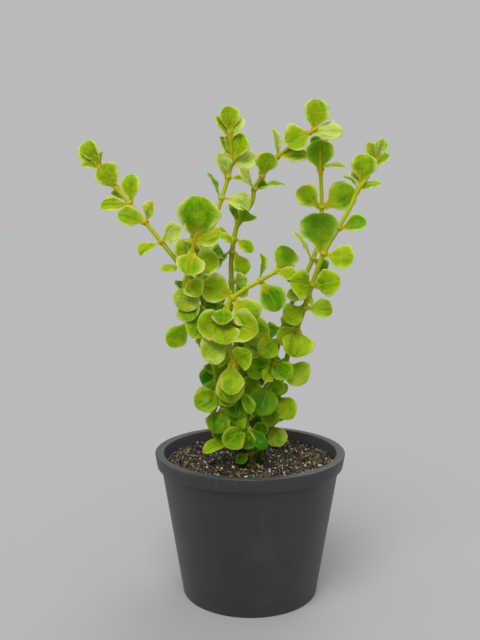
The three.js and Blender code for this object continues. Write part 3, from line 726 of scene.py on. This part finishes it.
def add_collar(form, shoot, height, tone):
    """Adds the swollen ring that joins the two leaves of a pair round the stem."""
    centre, direction, radius = shoot.at(height)
    age = shoot.age(height)

    def place(around, section):
        lap = section * FULL_TURN
        reach = radius + COLLAR_CLEARANCE + COLLAR_THICKNESS * math.cos(lap)
        rise = COLLAR_HALF_HEIGHT * math.sin(lap)
        point = centre + round_stem(direction, around * FULL_TURN) * reach + direction * rise
        return point, COLLAR_MAP_PLACE, (age, tone, 0.0)

    add_grid(form, COLLAR_SIDES, COLLAR_RINGS, place)


def pair_form(shoot, pair, leaf, chance):
    """Two opposite leaves, joined by the ring that clasps the stem."""
    height, *rows = pair
    form = bmesh.new()
    add_collar(form, shoot, height, chance.random())
    for row in rows:
        add_leaf_at(form, shoot, height, row, leaf, chance)
    return closed_up(form)


def tip_form(shoot, leaf, chance):
    """The young leaves round a growing tip."""
    form = bmesh.new()
    for height, row in shoot.growth["tip"]:
        place, direction, _ = shoot.at(height)
        add_leaf(form, row, place, direction, leaf, 0.0, chance)
    return closed_up(form)


def filling_row(traits, middle, turn, chance):
    """A leaf's row for a filling leaf that points aside from the middle, on the side of turn."""
    filling = drawn(traits, chance)
    rest = [getattr(filling, name) for name in LEAF_ROW[1:]]
    return [middle + turn * filling.aside, *rest]


def filling_rows(shoot, chance):
    """The smaller hanging leaves that fill the bunch along the crowded part of a stem."""
    height, highest, middle = shoot.growth["crowded"]
    rows = []
    turn = 1
    while height < highest:
        rows.append([height, filling_row(FRONT_FILLING, middle, turn, chance)])
        rows.append([height, filling_row(BACK_FILLING, middle, -turn, chance)])
        height += chance.uniform(*FILLING_STEP)
        turn = -turn
    return rows


def single_form(shoot, leaf, chance):
    """The leaves that stand alone at their joints, with those inside the bunch."""
    form = bmesh.new()
    for height, row in shoot.growth["single"] + filling_rows(shoot, chance):
        add_leaf_at(form, shoot, height, row, leaf, chance)
    return closed_up(form)


# Pot and gravel

def pot_outside(pot, height):
    """The radius of the pot's outside under its rim, at a height."""
    return pot.foot_radius + (pot.top_radius - pot.rim_lip - pot.foot_radius) * height / pot.height


def gravel_edge(pot, gravel, height):
    """The radius that the gravel fills at a height."""
    return pot_outside(pot, height) - pot.wall - gravel.gap


def spun(profile, steps, bevel_rings=(), bevel=0.0):
    """Turns a profile of (radius, height) points round the middle and rounds some of its edges."""
    form = bmesh.new()
    chain = [form.verts.new((radius, 0.0, height)) for radius, height in profile]
    edges = [form.edges.new(pair) for pair in zip(chain, chain[1:])]
    bmesh.ops.spin(
        form, geom=chain + edges, axis=(0, 0, 1), cent=(0, 0, 0), angle=FULL_TURN,
        steps=steps, use_merge=True,
    )
    bmesh.ops.remove_doubles(form, verts=form.verts, dist=TOLERANCE)
    sharp = [
        edge for edge in form.edges
        if any(
            all(math.hypot(v.co.xy.length - radius, v.co.z - height) < TOLERANCE for v in edge.verts)
            for radius, height in bevel_rings
        )
    ]
    if sharp:
        bmesh.ops.bevel(
            form, geom=sharp, offset=bevel, affect="EDGES", segments=3, profile=0.5, material=-1,
        )
    bmesh.ops.recalc_face_normals(form, faces=form.faces)
    return form


def pot_profile(pot):
    """The pot's wall from the middle of its underside, up the outside and down the inside."""
    rim_foot = pot.height - pot.rim_height
    return [
        (0.0, 0.0),
        (pot.foot_radius, 0.0),
        (pot_outside(pot, rim_foot), rim_foot),
        (pot_outside(pot, rim_foot) + pot.rim_lip, rim_foot + RIM_SLOPE),
        (pot.top_radius, pot.height),
        (pot_outside(pot, pot.height) - pot.wall, pot.height),
        (pot_outside(pot, pot.floor) - pot.wall, pot.floor),
        (0.0, pot.floor),
    ]


def drain_cutter(pot):
    """The cylinders that cut the drain holes."""
    form = bmesh.new()
    for hole in range(DRAIN_HOLES):
        turn = (hole + 0.5) / DRAIN_HOLES * FULL_TURN
        place = Vector((math.cos(turn), math.sin(turn), 0.0)) * pot.drain_ring
        bmesh.ops.create_cone(
            form, cap_ends=True, segments=DRAIN_SIDES,
            radius1=pot.drain_radius, radius2=pot.drain_radius, depth=pot.floor * 3,
            matrix=Matrix.Translation(place + Vector((0.0, 0.0, pot.floor / 2))),
        )
    return added("drain_cutter", mesh_of("drain_cutter", form))


def drill(piece, cutter):
    """Cuts the cutter out of a piece and removes it."""
    cut = piece.modifiers.new("Drain holes", "BOOLEAN")
    cut.operation = "DIFFERENCE"
    cut.object = cutter
    evaluated = piece.evaluated_get(bpy.context.evaluated_depsgraph_get())
    holed = bpy.data.meshes.new_from_object(evaluated)
    piece.modifiers.clear()
    piece.data = holed
    bpy.data.objects.remove(cutter)


def gravel_lump(x, y, size):
    """How far the gravel's surface stands above its mean level: slow waves, heaped round each stem."""
    x, y = x / MM, y / MM
    wave = (0.5 * math.sin(0.31 * x + 1.1) * math.cos(0.27 * y - 0.6)
            + 0.3 * math.sin(0.63 * x - 0.5 * y + 2) + 0.2 * math.cos(0.9 * y + 0.7 * x))
    feet = [growth["route"][1] for growth in SHOOTS.values()]
    heaped = max(math.exp(-((x - foot[0]) ** 2 + (y - foot[1]) ** 2) / HEAP_SPREAD) for foot in feet)
    return size * (wave + HEAP_RISE * heaped)


def gravel_bed_form(gravel, pot):
    """The body of the gravel under its loose grains, with an uneven top."""
    floor = pot.floor + gravel.gap
    edge = gravel_edge(pot, gravel, gravel.top)
    profile = [(0.0, floor), (gravel_edge(pot, gravel, floor), floor)]
    profile += [(edge * (1 - step / GRAVEL_RINGS), gravel.top) for step in range(GRAVEL_RINGS + 1)]
    form = spun(profile, GRAVEL_STEPS)
    for vertex in form.verts:
        if vertex.co.z > gravel.top - TOLERANCE:
            vertex.co.z += gravel_lump(vertex.co.x, vertex.co.y, gravel.lump) - BED_SINK
    return form


def grain_places(gravel, pot, chance):
    """Places and sizes of the loose grains: one layer in shifted rows, each a little out of line."""
    edge = gravel_edge(pot, gravel, gravel.top)
    row_step = gravel.spacing * math.sqrt(0.75)
    rows, columns = int(edge / row_step) + 1, int(edge / gravel.spacing) + 1
    places = []
    for row in range(-rows, rows + 1):
        shift = 0.5 * gravel.spacing * (row % 2)
        for column in range(-columns, columns + 1):
            x = column * gravel.spacing + shift + chance.gauss(0, GRAIN_JITTER) * gravel.spacing
            y = row * row_step + chance.gauss(0, GRAIN_JITTER) * gravel.spacing
            radius = gravel.small + (gravel.large - gravel.small) * chance.random() ** SMALL_GRAIN_BIAS
            if math.hypot(x, y) + radius < edge + GRAIN_OVERHANG:
                rise = chance.uniform(*GRAIN_RISE) * radius
                places.append((x, y, rise, radius))
    return places


def any_turn(chance):
    """A turn by chance, as a matrix."""
    angle = chance.uniform(0, 6.28)
    axis = Vector((chance.gauss(0, 1), chance.gauss(0, 1), chance.gauss(0, 1)))
    return numpy.array(Matrix.Rotation(angle, 3, axis))


def grains_mesh(places, gravel, chance):
    """All loose grains as one mesh, joined from copies of one rough ball."""
    ball = bmesh.new()
    bmesh.ops.create_icosphere(ball, subdivisions=1, radius=1.0)
    ball.verts.ensure_lookup_table()
    corners = numpy.array([vertex.co[:] for vertex in ball.verts])
    faces = numpy.array([[vertex.index for vertex in face.verts] for face in ball.faces])
    ball.free()
    dice = numpy.random.RandomState(STONE_SEED)
    count = len(places)
    shape = corners[None] * dice.uniform(*GRAIN_ROUGHNESS, (count, len(corners), 1))
    shape = shape * dice.uniform(*GRAIN_FLATNESS, (count, 1, 3))
    turns = numpy.array([any_turn(chance) for _ in range(count)])
    radii = numpy.array([radius for _, _, _, radius in places])
    shape = numpy.einsum("nij,nkj->nki", turns, shape) * radii[:, None, None]
    centres = numpy.array([
        (x, y, gravel.top + gravel_lump(x, y, gravel.lump) + rise) for x, y, rise, _ in places
    ])
    points = (shape + centres[:, None]).reshape(-1, 3)
    starts = numpy.arange(count) * len(corners)
    mesh = bpy.data.meshes.new("gravel_grains")
    mesh.from_pydata(points.tolist(), [], (faces[None] + starts[:, None, None]).reshape(-1, 3).tolist())
    colours = numpy.ones((len(points), 4), numpy.float32)
    colours[:, :3] = numpy.repeat(dice.random_sample((count, 3)), len(corners), axis=0)
    layer = mesh.attributes.new("grain", "FLOAT_COLOR", "POINT")
    layer.data.foreach_set("color", colours.ravel())
    mesh.update()
    return mesh


# Nodes

def feed(tree, socket, value):
    """Links a socket to an input, or sets the input to a plain number, vector or colour."""
    if isinstance(value, bpy.types.NodeSocket):
        tree.links.new(value, socket)
    elif socket.type == "RGBA":
        socket.default_value = (*value, 1.0)
    else:
        socket.default_value = value


def set_inputs(tree, node, **values):
    """Feeds a node's inputs by name. An underscore stands for a space."""
    for name, value in values.items():
        feed(tree, node.inputs[name.replace("_", " ")], value)
    return node.outputs


def new_node(tree, kind, **values):
    """The outputs of a new shader node with these inputs."""
    return set_inputs(tree, tree.nodes.new(f"ShaderNode{kind}"), **values)


def maths(tree, operation, *values, clamp=False):
    """A math node on numbers or sockets."""
    node = tree.nodes.new("ShaderNodeMath")
    node.operation = operation
    node.use_clamp = clamp
    for socket, value in zip(node.inputs, values):
        feed(tree, socket, value)
    return node.outputs[0]


def times(tree, first, *others):
    """The product of values."""
    for other in others:
        first = maths(tree, "MULTIPLY", first, other)
    return first


def scaled(tree, value, factor, offset, clamp=False):
    """A value times a factor, with an offset added."""
    return maths(tree, "MULTIPLY_ADD", value, factor, offset, clamp=clamp)


def larger(tree, first, second):
    """The larger one of two values."""
    return maths(tree, "MAXIMUM", first, second)


def stepped(tree, value, low, high):
    """A smooth step from 0 where a value is low to 1 where it is high. Low may be above high."""
    node = tree.nodes.new("ShaderNodeMapRange")
    node.interpolation_type = "SMOOTHSTEP"
    return set_inputs(tree, node, Value=value, From_Min=low, From_Max=high)["Result"]


def blended(tree, mask, first, second, mode="MIX"):
    """The second colour over the first one where the mask says."""
    node = tree.nodes.new("ShaderNodeMix")
    node.data_type = "RGBA"
    node.blend_type = mode
    for socket, value in zip((node.inputs[0], *node.inputs[6:8]), (mask, first, second)):
        feed(tree, socket, value)
    return node.outputs[2]


def painted(tree, body, *coats):
    """Lays colours over a body in turn, each one where its mask says."""
    for colour, mask in coats:
        body = blended(tree, mask, body, colour)
    return body


def attribute_parts(tree, name):
    """The three numbers of a colour attribute."""
    attribute = tree.nodes.new("ShaderNodeAttribute")
    attribute.attribute_name = name
    return new_node(tree, "SeparateColor", Color=attribute.outputs["Color"])


# Node groups

def shared_group(name, inputs, outputs, wire):
    """A node group that is built once. wire(group, given) gives its outputs by name."""
    if name not in bpy.data.node_groups:
        group = bpy.data.node_groups.new(name, "ShaderNodeTree")
        for way, sockets in (("INPUT", inputs), ("OUTPUT", outputs)):
            for socket, kind in sockets.items():
                group.interface.new_socket(name=socket, in_out=way, socket_type=f"NodeSocket{kind}")
        given = group.nodes.new("NodeGroupInput").outputs
        set_inputs(group, group.nodes.new("NodeGroupOutput"), **wire(group, given))
    return bpy.data.node_groups[name]


def placed(tree, group, **values):
    """Places a node group in a material with its own values and gives its outputs."""
    node = tree.nodes.new("ShaderNodeGroup")
    node.node_tree = group
    return set_inputs(tree, node, **values)


def mottling(group, given):
    """Noise on the body's own coordinates, drawn out by Stretch, and a mask of its high places."""
    drawn_out = group.nodes.new("ShaderNodeVectorMath")
    drawn_out.operation = "MULTIPLY"
    feed(group, drawn_out.inputs[0], new_node(group, "TexCoord")["Object"])
    feed(group, drawn_out.inputs[1], given["Stretch"])
    value = new_node(
        group, "TexNoise", Vector=drawn_out.outputs["Vector"], Scale=given["Scale"],
        Detail=given["Detail"], Roughness=0.55,
    )["Fac"]
    return {"Value": value, "Mask": stepped(group, value, given["From"], given["To"])}


def relief(group, given):
    """A coarse and a fine height together, made into a normal."""
    height = scaled(group, given["Fine"], given["Fine share"], given["Coarse"])
    return {"Normal": new_node(
        group, "Bump", Height=height, Distance=given["Depth"], Strength=given["Strength"],
    )["Normal"]}


def growth_tones(group, given):
    """The three tones that each point of the plant carries."""
    return dict(zip(("Age", "Tone", "Side"), attribute_parts(group, "growth")))


def mottled(tree, scale, detail=3.0, stretch=(1.0, 1.0, 1.0), low=0.5, high=0.8):
    """The mottling group with its Value, and its Mask, which steps from low up to high."""
    inputs = {"Stretch": "Vector", "Scale": "Float", "Detail": "Float", "From": "Float", "To": "Float"}
    group = shared_group("mottling", inputs, {"Value": "Float", "Mask": "Float"}, mottling)
    return placed(tree, group, Stretch=stretch, Scale=scale, Detail=detail, From=low, To=high)


def raised(tree, coarse, fine, share, depth, strength):
    """The relief group: the normal of a skin whose fine height counts by a share."""
    inputs = {name: "Float" for name in ("Coarse", "Fine", "Fine share", "Depth", "Strength")}
    group = shared_group("relief", inputs, {"Normal": "Vector"}, relief)
    return placed(
        tree, group, Coarse=coarse, Fine=fine, Fine_share=share, Depth=depth, Strength=strength,
    )["Normal"]


def grown(tree):
    """The growth group: the Age, Tone and Side of each point of the plant."""
    outputs = {name: "Float" for name in ("Age", "Tone", "Side")}
    return placed(tree, shared_group("growth_tones", {}, outputs, growth_tones))


# Finishes

def new_finish(name):
    """A new material, its tree and its shader."""
    material = bpy.data.materials.new(name)
    material.use_nodes = True
    tree = material.node_tree
    return material, tree, tree.nodes["Principled BSDF"]


def soft_tissue(tree, shader, weight, depth):
    """Lets light sink into the plant's tissue and come out green."""
    set_inputs(
        tree, shader, Subsurface_Weight=weight, Subsurface_Scale=depth,
        Subsurface_Radius=(0.55, 1.0, 0.12), IOR=1.42, Specular_IOR_Level=0.06,
    )


def read_blade(tree):
    """What a blade's surface carries: its growth tones, its map and a slow unevenness."""
    growth = grown(tree)
    flat = new_node(tree, "SeparateXYZ", Vector=new_node(tree, "UVMap")["UV"])
    return SimpleNamespace(
        age=growth["Age"], tone=growth["Tone"], under=growth["Side"],
        across=flat["X"], along=flat["Y"],
        side=maths(tree, "ABSOLUTE", scaled(tree, flat["X"], 2.0, -1.0)),
        patches=mottled(tree, scale=210.0, detail=2.0)["Value"],
        young=stepped(tree, growth["Age"], 0.6, 0.1),
    )


def leaf_green(tree, leaf, blade):
    """The blade's green from its age, tone and a slow unevenness; some tones hold painted light and
    shade.
    """
    depth = scaled(tree, blade.tone, -1.1, -0.56)
    depth = scaled(tree, blade.age, 0.42, depth)
    depth = scaled(tree, blade.patches, 2.3, depth)
    return painted(
        tree, leaf.young,
        (leaf.grown, stepped(tree, depth, -0.15, 0.42)), (leaf.old, stepped(tree, depth, 0.42, 0.85)),
    )


def leaf_veins(tree, blade):
    """A mask of the midrib and the side veins, drawn on the blade's own map."""
    rib_width = scaled(tree, blade.along, -0.06, 0.085)
    rib = stepped(tree, maths(tree, "DIVIDE", blade.side, rib_width), 1.3, 0.2)
    slant = times(tree, maths(tree, "POWER", blade.side, 1.3), -2.6)
    lap = maths(tree, "FRACT", scaled(tree, blade.along, 6.0, slant))
    line = maths(tree, "ABSOLUTE", maths(tree, "SUBTRACT", lap, 0.5))
    veins = times(tree, stepped(tree, line, 0.1, 0.0), stepped(tree, blade.side, 0.95, 0.6))
    return larger(tree, rib, times(tree, veins, 0.4))


def leaf_light_and_shade_stripes(tree, blade):
    """Masks of painted highlight in pale stripes up a blade and of painted shade in the deep stripes
    between them, different on each leaf.
    """
    place = new_node(
        tree, "CombineXYZ", X=times(tree, blade.across, 7.0), Y=times(tree, blade.along, 1.8),
        Z=times(tree, blade.tone, 90.0),
    )["Vector"]
    field = new_node(tree, "TexNoise", Vector=place, Scale=1.0, Detail=2.5)["Fac"]
    # The pale stripes are painted highlight; the deep ones from the same noise are painted shade.
    pale = times(tree, stepped(tree, field, 0.45, 0.68), scaled(tree, blade.tone, 0.5, 0.26, clamp=True))
    return pale, stepped(tree, field, 0.5, 0.3)


def leaf_rim_and_highlight(tree, blade):
    """A mask of the blade's yellower outer part, with its foot and tip, stronger on pale leaves: partly
    the leaf's own colour, partly a painted highlight on its raised edges.
    """
    outer = stepped(tree, scaled(tree, blade.patches, 0.9, blade.side), 0.7, 1.4)
    ends = larger(tree, stepped(tree, blade.along, 0.5, 0.15), stepped(tree, blade.along, 0.7, 1.0))
    return times(tree, larger(tree, outer, ends), scaled(tree, blade.tone, 0.45, 0.3, clamp=True))


def leaf_wash(tree, blade, shaded_furrows):
    """A mask of the washed-out leaves, whose tone is above 1, and of the pale rims of young leaves."""
    edged = stepped(tree, scaled(tree, blade.patches, 0.6, blade.side), 0.5, 1.15)
    # The wash is weaker in the deep stripes of painted shade.
    washed = times(
        tree, stepped(tree, scaled(tree, blade.patches, 0.4, blade.tone), 1.2, 1.42),
        scaled(tree, blade.young, 0.65, 0.15), scaled(tree, edged, 0.45, 0.55),
        scaled(tree, shaded_furrows, -0.6, 1.0),
    )
    rimmed = times(
        tree, stepped(tree, scaled(tree, blade.patches, 0.5, blade.side), 0.85, 1.2),
        scaled(tree, blade.young, 0.5, 0.06), stepped(tree, blade.tone, -0.1, 0.4),
    )
    return larger(tree, washed, rimmed)


def leaf_foot(tree, blade):
    """A mask of the warm foot, which reaches further up a young blade."""
    foot = stepped(tree, blade.along, scaled(tree, blade.young, 0.22, 0.22), 0.02)
    return times(tree, foot, scaled(tree, blade.young, 0.33, 0.52))


def leaf_edge_highlight(tree, blade):
    """A mask of the painted highlight along the blade's thin edge, stronger on young and pale leaves."""
    ragged = scaled(tree, blade.patches, 0.3, blade.side)
    edge = larger(tree, stepped(tree, ragged, 0.94, 1.1), stepped(tree, blade.along, 0.95, 1.0))
    return times(tree, edge, scaled(tree, blade.young, 0.5, scaled(tree, blade.tone, 0.25, 0.08)))


def leaf_finish(leaf):
    """A living leaf: green centre, yellower rim partly painted as highlight, stripes of painted
    highlight and shade, veins, warm foot, underside, and a painted highlight along the margin.
    """
    material, tree, shader = new_finish("living_leaf")
    blade = read_blade(tree)
    spots = mottled(tree, scale=900.0, low=0.52)
    warmth = mottled(tree, scale=190.0, detail=2.0, high=0.72)["Mask"]
    veins = leaf_veins(tree, blade)
    highlight_streaks, shaded_furrows = leaf_light_and_shade_stripes(tree, blade)
    lower = stepped(tree, blade.under, 0.5, 0.7)
    body = painted(
        tree, leaf_green(tree, leaf, blade),
        # A yellower rim, partly the leaf's own colour and partly painted highlight.
        (leaf.rim, leaf_rim_and_highlight(tree, blade)),
        # Painted shade in the deep stripes, then painted highlight in the pale ones.
        (leaf.old, times(tree, shaded_furrows, 0.42)),
        (leaf.rim, highlight_streaks),
        (leaf.rim, times(tree, spots["Mask"], 0.3)),
        (leaf.margin, times(tree, veins, 0.2)),
        (leaf.foot, times(tree, warmth, 0.55, blade.tone)),
        (leaf.pale, leaf_wash(tree, blade, shaded_furrows)),
        (leaf.foot, leaf_foot(tree, blade)),
        (leaf.underside, times(tree, lower, 0.5)),
        # A painted highlight along the blade's edge.
        (leaf.margin, leaf_edge_highlight(tree, blade)),
    )
    sunk = times(tree, veins, scaled(tree, blade.under, 2.0, -1.0))
    bulges = scaled(tree, mottled(tree, scale=420.0, detail=1.0)["Value"], 3.0, sunk)
    cells = mottled(tree, scale=6000.0, detail=2.0)["Value"]
    set_inputs(
        tree, shader, Base_Color=body,
        Roughness=scaled(tree, lower, 0.18, scaled(tree, spots["Value"], 0.22, 0.34)),
        Normal=raised(tree, bulges, cells, share=0.06, depth=0.2 * MM, strength=1.0),
    )
    soft_tissue(tree, shader, weight=0.5, depth=1.0 * MM)
    return material


def stem_finish(stem):
    """A fleshy stem: olive at the foot, yellow-green above, yellow at its joints, faintly ribbed."""
    material, tree, shader = new_finish("plant_stem")
    growth = grown(tree)
    patches = mottled(tree, scale=220.0, stretch=(1.0, 1.0, 0.25))["Value"]
    fibres = mottled(tree, scale=3600.0, detail=2.0, stretch=(1.0, 1.0, 0.06), high=0.75)
    joint = stepped(tree, growth["Tone"], 0.2, 1.0)
    body = painted(
        tree, stem.young,
        (stem.old, stepped(tree, scaled(tree, patches, 0.6, growth["Age"]), 0.4, 1.25)),
        (stem.buried, stepped(tree, growth["Age"], 0.84, 0.97)),
        (stem.joint, times(tree, joint, scaled(tree, growth["Age"], -0.35, 0.6))),
        (stem.joint, times(tree, fibres["Mask"], 0.2)),
    )
    coarse = times(tree, patches, 0.4)
    set_inputs(
        tree, shader, Base_Color=body, Roughness=scaled(tree, patches, 0.25, 0.28),
        Normal=raised(tree, coarse, fibres["Value"], share=1.0, depth=0.09 * MM, strength=0.8),
    )
    soft_tissue(tree, shader, weight=0.4, depth=1.2 * MM)
    return material


def pot_finish(pot):
    """Dark moulded plastic: satin, with flow marks, fine grain and rubbed, water-stained edges."""
    material, tree, shader = new_finish("pot_plastic")
    height = new_node(tree, "SeparateXYZ", Vector=new_node(tree, "TexCoord")["Object"])["Z"]
    flow = mottled(tree, scale=90.0, stretch=(1.0, 1.0, 0.12))["Value"]
    grain = mottled(tree, scale=3000.0, detail=2.0)["Value"]
    stain = mottled(tree, scale=60.0, detail=5.0)
    runs = mottled(tree, scale=260.0, detail=4.0, stretch=(1.0, 1.0, 0.05), low=0.55, high=0.75)["Mask"]
    top = stepped(tree, height, pot.height - 1.6 * MM, pot.height + 0.4 * MM)
    foot = stepped(tree, height, 3.0 * MM, 0.0)
    worn = times(tree, maths(tree, "ADD", top, foot), stepped(tree, stain["Value"], 0.42, 0.72))
    drips = times(tree, runs, stepped(tree, height, pot.height * 0.35, pot.height))
    film = larger(tree, times(tree, stain["Mask"], 0.32), times(tree, drips, 0.28))
    body = painted(
        tree, pot.plastic,
        (pot.worn, times(tree, flow, 0.2)),
        (pot.worn, larger(tree, times(tree, worn, 0.7), film)),
    )
    set_inputs(
        tree, shader, Base_Color=body,
        Roughness=scaled(tree, worn, 0.15, scaled(tree, stain["Value"], 0.22, 0.34)),
        Normal=raised(tree, times(tree, flow, 0.6), grain, share=1.0, depth=0.06 * MM, strength=0.6),
    )
    return material


def stone_finish(gravel, name, loose):
    """Gravel: mostly near black, with brown, tan and a few pale grains, faintly damp."""
    material, tree, shader = new_finish(name)
    flecks = mottled(tree, scale=2600.0, low=0.55, high=0.75)
    if loose:
        kind, tone, _ = attribute_parts(tree, "grain")
    else:
        kind, tone = mottled(tree, scale=1200.0, detail=2.0)["Value"], flecks["Value"]
    body = painted(
        tree, gravel.dark,
        (gravel.brown, stepped(tree, kind, 0.46, 0.62)),
        (gravel.tan, stepped(tree, kind, 0.78, 0.84)),
        (gravel.pale, stepped(tree, kind, 0.945, 0.955)),
    )
    light = scaled(tree, tone, 0.9, 0.5)
    shade = new_node(tree, "CombineColor", Red=light, Green=light, Blue=light)["Color"]
    body = blended(tree, 1.0, body, shade, "MULTIPLY")
    set_inputs(
        tree, shader, Base_Color=painted(tree, body, (gravel.tan, times(tree, flecks["Mask"], 0.35))),
        Roughness=scaled(tree, tone, 0.4, 0.28), Specular_IOR_Level=0.25,
        Normal=raised(tree, 0.0, flecks["Value"], share=1.0, depth=0.1 * MM, strength=0.7),
    )
    return material


def floor_finish(stage):
    """A plain pale floor with the faintest grain."""
    material, tree, shader = new_finish("pale_floor")
    deeper = [part * 0.97 for part in stage.floor]
    set_inputs(
        tree, shader, Roughness=0.75, Specular_IOR_Level=0.0,
        Base_Color=painted(tree, stage.floor, (deeper, mottled(tree, scale=3.0)["Value"])),
    )
    return material


# Stage

def add_camera(stage):
    """The camera, at the photograph's viewing angle."""
    lens = bpy.data.cameras.new("camera")
    lens.lens = stage.lens
    camera = added("camera", lens)
    camera.location = CAMERA_PLACE
    camera.rotation_euler = (CAMERA_TILT, 0.0, 0.0)
    bpy.context.scene.camera = camera


def add_floor(stage):
    """The plain floor that the pot stands on."""
    form = bmesh.new()
    bmesh.ops.create_grid(form, x_segments=1, y_segments=1, size=stage.floor_size / 2)
    floor = added("floor", mesh_of("floor", form))
    floor.data.materials.append(floor_finish(stage))


def add_lights(stage):
    """The soft lights, and the even light of the room."""
    for name, place, spread, share in LIGHTS:
        light = bpy.data.lights.new(name, "SUN")
        light.angle = math.radians(spread)
        light.energy = stage.key * share
        lamp = added(name, light)
        lamp.location = place
        lamp.rotation_euler = (-Vector(place)).to_track_quat("-Z", "Y").to_euler()
    world = bpy.data.worlds.new("studio")
    world.use_nodes = True
    tree = world.node_tree
    set_inputs(tree, tree.nodes["Background"], Color=ROOM_COLOUR, Strength=stage.sky)
    bpy.context.scene.world = world
    bpy.context.scene.view_settings.view_transform = "Standard"


# Operators

class ROTALA_OT_set_stage(bpy.types.Operator):
    """Set the floor, the soft studio light and the camera"""

    bl_idname = "rotala.set_stage"
    bl_label = "Set stage"

    def execute(self, context):
        stage = context.scene.rotala_stage
        add_camera(stage)
        add_floor(stage)
        add_lights(stage)
        return {"FINISHED"}


class ROTALA_OT_turn_pot(bpy.types.Operator):
    """Turn the plain plastic pot and drill its drain holes"""

    bl_idname = "rotala.turn_pot"
    bl_label = "Turn pot"

    def execute(self, context):
        pot = context.scene.rotala_pot
        profile = pot_profile(pot)
        form = spun(profile, POT_STEPS, profile[1:-1], EDGE_ROUNDING)
        piece = new_piece("plant_pot", mesh_of("plant_pot", form), pot_finish(pot), "pot")
        drill(piece, drain_cutter(pot))
        piece.data.set_sharp_from_angle(angle=SHARP_ANGLE)
        return {"FINISHED"}


class ROTALA_OT_fill_gravel(bpy.types.Operator):
    """Fill the pot with gravel and strew the loose grains over it"""

    bl_idname = "rotala.fill_gravel"
    bl_label = "Fill gravel"

    def execute(self, context):
        gravel, pot = context.scene.rotala_gravel, context.scene.rotala_pot
        bed = mesh_of("gravel_bed", gravel_bed_form(gravel, pot))
        ground = stone_finish(gravel, "gravel_ground", loose=False)
        new_piece("gravel_bed", bed, ground, "gravel")
        chance = random.Random(GRAIN_SEED)
        grains = grains_mesh(grain_places(gravel, pot, chance), gravel, chance)
        stone = stone_finish(gravel, "gravel_stone", loose=True)
        new_piece("gravel_grains", grains, stone, "gravel", smooth=False)
        return {"FINISHED"}


class ROTALA_OT_grow_stems(bpy.types.Operator):
    """Grow the seven tapered stems with their swollen joints"""

    bl_idname = "rotala.grow_stems"
    bl_label = "Grow stems"

    def execute(self, context):
        gravel, stem = context.scene.rotala_gravel, context.scene.rotala_stem
        material = stem_finish(stem)
        for order, (name, growth) in enumerate(SHOOTS.items()):
            form = stem_form(Shoot(growth, gravel, stem), order / len(SHOOTS))
            mesh = mesh_of(f"{name}_shoot", form)
            new_piece(f"{name}_shoot", mesh, material, f"{name}_stem")
        return {"FINISHED"}


class ROTALA_OT_unfold_leaves(bpy.types.Operator):
    """Unfold the leaf pairs up each stem and the young leaves of its tip"""

    bl_idname = "rotala.unfold_leaves"
    bl_label = "Unfold leaves"

    def execute(self, context):
        scene = context.scene
        leaf = scene.rotala_leaf
        material = leaf_finish(leaf)

        def unfold(name, form, node):
            new_piece(name, mesh_of(name, form), material, node)

        for name, growth in SHOOTS.items():
            shoot = Shoot(growth, scene.rotala_gravel, scene.rotala_stem)
            chance = random.Random(name)
            unfold(f"{name}_tip_leaves", tip_form(shoot, leaf, chance), f"{name}_stem")
            for order, pair in enumerate(growth["pairs"], 1):
                form = pair_form(shoot, pair, leaf, chance)
                unfold(f"{name}_leaves_{order}", form, f"{name}_leaf_pair_{order}")
            unfold(f"{name}_single_leaves", single_form(shoot, leaf, chance), f"{name}_stem")
        return {"FINISHED"}


STEPS = (
    ROTALA_OT_set_stage,
    ROTALA_OT_turn_pot,
    ROTALA_OT_fill_gravel,
    ROTALA_OT_grow_stems,
    ROTALA_OT_unfold_leaves,
)

GROUPS = {
    "rotala_pot": RotalaPot,
    "rotala_gravel": RotalaGravel,
    "rotala_stem": RotalaStem,
    "rotala_leaf": RotalaLeaf,
    "rotala_stage": RotalaStage,
}


class ROTALA_PT_plant(bpy.types.Panel):
    """Sizes, colours and steps of the potted plant"""

    bl_idname = "ROTALA_PT_plant"
    bl_label = "Rotala"
    bl_space_type = "VIEW_3D"
    bl_region_type = "UI"
    bl_category = "Rotala"

    def draw(self, context):
        for step in STEPS:
            self.layout.operator(step.bl_idname)
        for name, group in GROUPS.items():
            box = self.layout.box()
            box.label(text=group.__doc__)
            for key in group.__annotations__:
                box.prop(getattr(context.scene, name), key)


def register():
    """Registers the groups, the steps and the panel."""
    for name, group in GROUPS.items():
        bpy.utils.register_class(group)
        setattr(bpy.types.Scene, name, bpy.props.PointerProperty(type=group))
    for step in (*STEPS, ROTALA_PT_plant):
        bpy.utils.register_class(step)


def unregister():
    """Takes away what register adds."""
    for step in reversed((*STEPS, ROTALA_PT_plant)):
        bpy.utils.unregister_class(step)
    for name, group in GROUPS.items():
        delattr(bpy.types.Scene, name)
        bpy.utils.unregister_class(group)


def main():
    """Registers the add-on and builds the plant."""
    register()
    bpy.ops.rotala.set_stage()
    bpy.ops.rotala.turn_pot()
    bpy.ops.rotala.fill_gravel()
    bpy.ops.rotala.grow_stems()
    bpy.ops.rotala.unfold_leaves()


if __name__ == "__main__":
    main()
